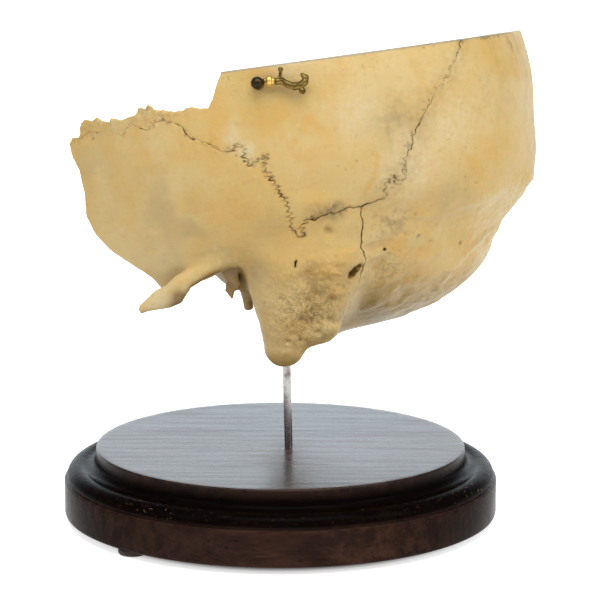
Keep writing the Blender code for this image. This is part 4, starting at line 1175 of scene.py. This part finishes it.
def add_bones(pose, mat):
    """The three bones, sampled together and parted along the sutures."""
    def fields(points):
        bone = np.maximum(skull_field(points), saw_field(points))
        return (bone, *partition(points))

    bone, parietal, occipital = sample_fields(fields, GRID_LOW, GRID_HIGH, STEP)
    half = SUTURE_GAP / 2
    parts = {
        "temporal_bone": np.maximum(bone, half - np.minimum(parietal, occipital)),
        "parietal_bone": np.maximum(bone, parietal + half),
        "occipital_bone": np.maximum(bone, occipital + half),
    }
    for node, samples in parts.items():
        points, quads = largest_part(*surface(samples, GRID_LOW, STEP))
        mesh = mesh_of(node + "_fine", points, quads)
        normals = vertex_normals(mesh)
        outwards = (normals * (points - np.array(BRAIN_CENTRE)) / HALF_BREADTH).sum(-1)
        outside = smooth_ramp(-3.5, -1.5, braincase(points)) * smooth_ramp(-0.2, 0.3, outwards)
        moved = suture_points(points)
        proud = relief(points, moved, outside) * smooth_ramp(0.3, 0.9, np.abs(saw_field(points)))
        points = points + normals * proud[:, None]
        mesh.vertices.foreach_set("co", (points * MM).ravel().astype(np.float32))
        paint(mesh, points, moved, outside)
        mesh.update()
        obj = add_piece(node + "_fine", mesh, mat, "specimen", [node])
        obj.matrix_world = pose


def arc(centre, radius, degrees):
    """Points of a circle, with angles counted from straight up towards the outside."""
    r, z = centre
    return [(r + radius * math.sin(math.radians(a)), z + radius * math.cos(math.radians(a))) for a in degrees]


def base_profile():
    """The base's outline from its top's middle to its underside's, in millimetres."""
    profile = [(r, BASE_TOP_HEIGHT) for r in (0.0, BASE_TOP_RADIUS - 12, BASE_TOP_RADIUS - 2)]
    corner = (BASE_TOP_RADIUS - EDGE_ROUND, BASE_TOP_HEIGHT - EDGE_ROUND)
    profile += arc(corner, EDGE_ROUND, (0, 22, 45, 68, 90))
    profile += arc((BASE_TOP_RADIUS + 0.25 + COVE_RADIUS, COVE_HEIGHT), COVE_RADIUS, range(270, 179, -10))
    profile += arc((TORUS_CENTRE[0] - SKIN, TORUS_CENTRE[1] - SKIN), TORUS_RADIUS, range(-32, 96, 6))
    profile += [(TORUS_CENTRE[0] + TORUS_RADIUS - 0.35, BASE_STEP_HEIGHT - 0.25)]
    profile += arc((BASE_RADIUS - 0.5, BASE_STEP_HEIGHT - 0.5), 0.45, (0, 30, 60, 90))
    outer = BASE_RADIUS - 0.05
    return profile + [(outer, 5.0), (outer, 1.0), (outer - 0.25, 0.35), (outer - 0.85, SKIN), (0.0, SKIN)]


def turned_mesh(name, profile, steps):
    """A mesh turned round Z from points (radius, height) in millimetres that start and end on the axis."""
    bm = bmesh.new()
    rings = []
    for r, z in profile[1:-1]:
        angles = (2 * math.pi * k / steps for k in range(steps))
        rings.append([bm.verts.new((r * math.cos(a) * MM, r * math.sin(a) * MM, z * MM)) for a in angles])
    for a, b in zip(rings, rings[1:]):
        for k in range(steps):
            bm.faces.new((a[k], b[k], b[(k + 1) % steps], a[(k + 1) % steps]))
    for ring, (_, z) in ((rings[0], profile[0]), (rings[-1], profile[-1])):
        middle = bm.verts.new((0, 0, z * MM))
        for k in range(steps):
            bm.faces.new((middle, ring[k], ring[(k + 1) % steps]))
    bmesh.ops.recalc_face_normals(bm, faces=bm.faces)
    mesh = bpy.data.meshes.new(name)
    bm.to_mesh(mesh)
    bm.free()
    mesh.polygons.foreach_set("use_smooth", np.ones(len(mesh.polygons), bool))
    return mesh


def add_base(mat):
    """The base, with painted shade on its moulding and side ends, and flecks of wear and painted glint, most
    at the right.
    """
    mesh = turned_mesh("base_fine", base_profile(), BASE_STEPS)
    co = np.empty(3 * len(mesh.vertices), np.float32)
    mesh.vertices.foreach_get("co", co)
    x, y, z = (co.reshape(-1, 3) / MM).T
    angle = np.degrees(np.arctan2(y, x))
    radius = np.hypot(x, y)
    on_torus = smooth_ramp(10.8, 13, z) * smooth_ramp(57, 59, radius)
    worn_and_glint = sum((share * bell(angle - middle, width) for middle, width, share in WORN_AND_GLINT_SPOTS), WORN_AND_GLINT_EVERYWHERE)
    below_top = smooth_ramp(BASE_TOP_RADIUS - 0.2, BASE_TOP_RADIUS + 0.3, radius)
    # Painted shade: the moulding near black and the side darker towards its left and right ends.
    side = smooth_ramp(BASE_STEP_HEIGHT, 10.0, z) * smooth_ramp(15, 60, np.abs(x))
    set_attribute(mesh, "worn_and_glint", on_torus * worn_and_glint)
    set_attribute(mesh, "matt", below_top)
    set_attribute(mesh, "dark", 0.92 * smooth_ramp(BASE_STEP_HEIGHT, 11.6, z) * below_top + 0.6 * side)
    add_piece("base_fine", mesh, mat, "specimen", ["base"])


def add_turned(name, profile, matrix, mat, nodes):
    """A small turned piece placed by a matrix in metres."""
    obj = add_piece(name, turned_mesh(name, profile, TURNED_STEPS), mat, "specimen", nodes)
    obj.matrix_world = matrix
    return obj


def add_pads(mat):
    """The pads under the base."""
    r, h = PAD_RADIUS - 0.03, PAD_HEIGHT - SKIN
    profile = [(0, -h), (r - 0.9, -h), (r - 0.35, -h + 0.2), (r, -h + 0.7)]
    profile += [(r, -0.35), (r - 0.1, -0.05), (0, -0.05)]
    for number, angle in enumerate(PAD_ANGLES, 1):
        x, y = (PAD_CIRCLE * turned(math.radians(angle)) * MM for turned in (math.cos, math.sin))
        name = f"pad_{number}"
        add_turned(name + "_fine", profile, Matrix.Translation((x, y, 0)), mat, [name])


def add_rod(mat):
    """The rod, from the base's top into the mastoid process."""
    foot, tip = Vector(ROD_FOOT), Vector(MASTOID_TIP_PLACE)
    axis = tip - foot
    turn = axis.to_track_quat("Z", "Y").to_matrix().to_4x4()
    top = axis.length + ROD_SINK - 2
    r = ROD_RADIUS - 0.01
    profile = [(0, -0.5), (r - 0.1, -0.5), (r, -0.4)]
    profile += [(r, z) for z in np.linspace(0, axis.length, 12)]
    profile += [(r, top - 0.3), (r - 0.3, top), (0, top)]
    add_turned("rod_fine", profile, Matrix.Translation(foot * MM) @ turn, mat, ["rod"])


def add_screw(place, mat):
    """The screw's round head with its shank below."""
    lowest = math.degrees(math.acos(-0.8))
    r = SHANK_RADIUS - SKIN
    profile = [(0, -SHANK_DEPTH + 0.1), (0.3, -SHANK_DEPTH + 0.3), (r, -SHANK_DEPTH + 1.2)]
    profile += [(r, HEAD_UNDERSIDE)]
    profile += arc((0, HEAD_CENTRE), HEAD_RADIUS - SKIN, np.linspace(lowest, 4, 16))
    profile += [(0, HEAD_CENTRE + HEAD_RADIUS - SKIN)]
    obj = add_turned("hook_screw_fine", profile, place, mat, ["hook_screw"])
    set_attribute(obj.data, "rubbed_and_highlight", [0.0] * len(obj.data.vertices))
    set_attribute(obj.data, "blackened", [0.8] * len(obj.data.vertices))


def hook_field(points):
    """The cast hook in its own frame: eye, bead, curled body and knobs."""
    def bar(start, end, radius, end_radius, flat=(1, 1, 1), rise=0.0):
        return limb(points, (*start, HOOK_HEIGHT), (*end, HOOK_HEIGHT + rise), radius, end_radius, flat)

    body = np.full(points.shape[:-1], 9.0)
    for (*start, radius), (*end, end_radius) in zip(HOOK_PATH, HOOK_PATH[1:]):
        body = joined(body, bar(start, end, radius, end_radius), 0.35)
    start, end, radius = HOOK_BEAD
    body = joined(body, bar(start, end, radius, radius, (0.6, 1, 1)), 0.15)
    for start, end, stem, knob in HOOK_KNOBS:
        body = joined(body, bar(start, end, stem, stem), 0.4)
        body = joined(body, bar(end, end, knob, knob, rise=0.01), 0.2)
    low, high = EYE_HEIGHTS
    from_middle = np.abs(points[..., 2] - (low + high) / 2)
    from_pin = np.hypot(points[..., 0], points[..., 1])
    eye = kept_inside(from_pin - EYE_RADIUS, from_middle - (high - low) / 2, 0.3)
    body = carved(joined(body, eye, 0.3), from_pin - EYE_BORE, 0.2)
    head_room = limb(points, (0, 0, HEAD_CENTRE), (0, 0, 9), HEAD_RADIUS + 0.3, HEAD_RADIUS)
    return carved(body, head_room, 0.1)


def add_hook(place, mat):
    """The hook, polished bright on its bead, with a painted highlight a little on its upper outer side."""
    samples, = sample_fields(lambda points: (hook_field(points),), HOOK_LOW, HOOK_HIGH, HOOK_STEP)
    points, quads = largest_part(*surface(samples, HOOK_LOW, HOOK_STEP))
    mesh = mesh_of("hook_fine", points, quads)
    normals = vertex_normals(mesh)
    (bead_start, _), (bead_end, _), _ = HOOK_BEAD
    bead = smooth_ramp(1.7, 1.1, np.abs(points[:, 0] - (bead_start + bead_end) / 2))
    tarnish = fractal(points, 1.6, 2, 4.0)
    # The bead is polished bright; the share from the normals is a painted highlight.
    rubbed_and_highlight = 0.1 * normals[:, 2] - 0.25 * normals[:, 1] - 0.1 + bead + 0.25 * tarnish
    set_attribute(mesh, "rubbed_and_highlight", np.clip(rubbed_and_highlight, 0, 1))
    obj = add_piece("hook_fine", mesh, mat, "hook", ["hook"])
    obj.matrix_world = place


def add_camera():
    """A long lens at the photo's place, without blur."""
    camera = bpy.data.cameras.new("camera")
    camera.lens = CAMERA_LENS
    camera.shift_x = CAMERA_SHIFT
    camera.clip_start = 0.05
    camera.clip_end = 20.0
    camera.dof.use_dof = False
    obj = bpy.data.objects.new("camera", camera)
    obj.location = CAMERA_PLACE
    obj.rotation_euler = (math.radians(90 - CAMERA_TILT), 0, 0)
    bpy.context.scene.collection.objects.link(obj)
    bpy.context.scene.camera = obj


def add_light(name, place, target, size, power):
    """A soft rectangular lamp that faces a target."""
    light = bpy.data.lights.new(name, "AREA")
    light.shape = "RECTANGLE"
    light.size, light.size_y = size
    light.energy = power
    obj = bpy.data.objects.new(name, light)
    obj.location = place
    obj.rotation_euler = (Vector(place) - Vector(target)).to_track_quat("Z", "Y").to_euler()
    bpy.context.scene.collection.objects.link(obj)


def add_studio():
    """A white floor that runs on past the picture, a white world and soft lamps."""
    world = bpy.data.worlds.new("studio")
    bpy.context.scene.world = world
    world.use_nodes = True
    background = world.node_tree.nodes["Background"]
    tree = world.node_tree
    direction = tree.nodes.new("ShaderNodeTexCoord").outputs["Generated"]
    axes = tree.nodes.new("ShaderNodeSeparateXYZ")
    tree.links.new(direction, axes.inputs[0])
    share = tree.nodes.new("ShaderNodeMapRange")
    share.interpolation_type = "SMOOTHSTEP"
    tree.links.new(axes.outputs["Y"], share.inputs["Value"])
    limits = (*LIGHT_CHANGE, FRONT_LIGHT, BACK_LIGHT)
    for name, value in zip(("From Min", "From Max", "To Min", "To Max"), limits):
        share.inputs[name].default_value = value
    tree.links.new(share.outputs[0], background.inputs["Strength"])
    background.inputs["Color"].default_value = (*BACK_TINT, 1.0)
    floor = bpy.data.meshes.new("floor")
    corners = [(x * FLOOR_REACH, y * FLOOR_REACH) for x, y in ((-1, -1), (1, -1), (1, 1), (-1, 1))]
    floor.from_pydata([(x, y, FLOOR_HEIGHT) for x, y in corners], [], [(0, 1, 2, 3)])
    paper = Shading("white_paper", Base_Color=(0.85, 0.85, 0.85), Roughness=0.9)
    depth = paper.node("ShaderNodeSeparateXYZ", {"Vector": paper.place()}, "Y")
    reached = paper.node("ShaderNodeVectorMath", {0: paper.place()}, "Value", operation="LENGTH")
    ring = paper.ramp(reached, *RING_INNER, 0.0, RING_GLOW)
    ring = paper.times(ring, paper.ramp(reached, *RING_OUTER, 1.0, 0.0))
    glow = paper.sum(paper.ramp(depth, *FLOOR_GLOW_DEPTH, *FLOOR_GLOW), ring, "MAXIMUM")
    paper.set(Emission_Color=(1.0, 1.0, 1.0), Emission_Strength=glow)
    floor.materials.append(paper.material)
    obj = bpy.data.objects.new("floor", floor)
    bpy.context.scene.collection.objects.link(obj)
    for name, place, size, power in LAMPS:
        add_light(name, place, LAMP_TARGET, size, power)
    bpy.context.scene.view_settings.view_transform = "Standard"


def main():
    add_camera()
    add_studio()
    pose = skull_pose()
    latch = pose @ hook_frame()
    brass = brass_material()
    add_bones(pose, bone_material())
    add_base(wood_material())
    add_pads(rubber_material())
    add_rod(steel_material())
    add_screw(latch, brass)
    add_hook(latch, brass)


main()
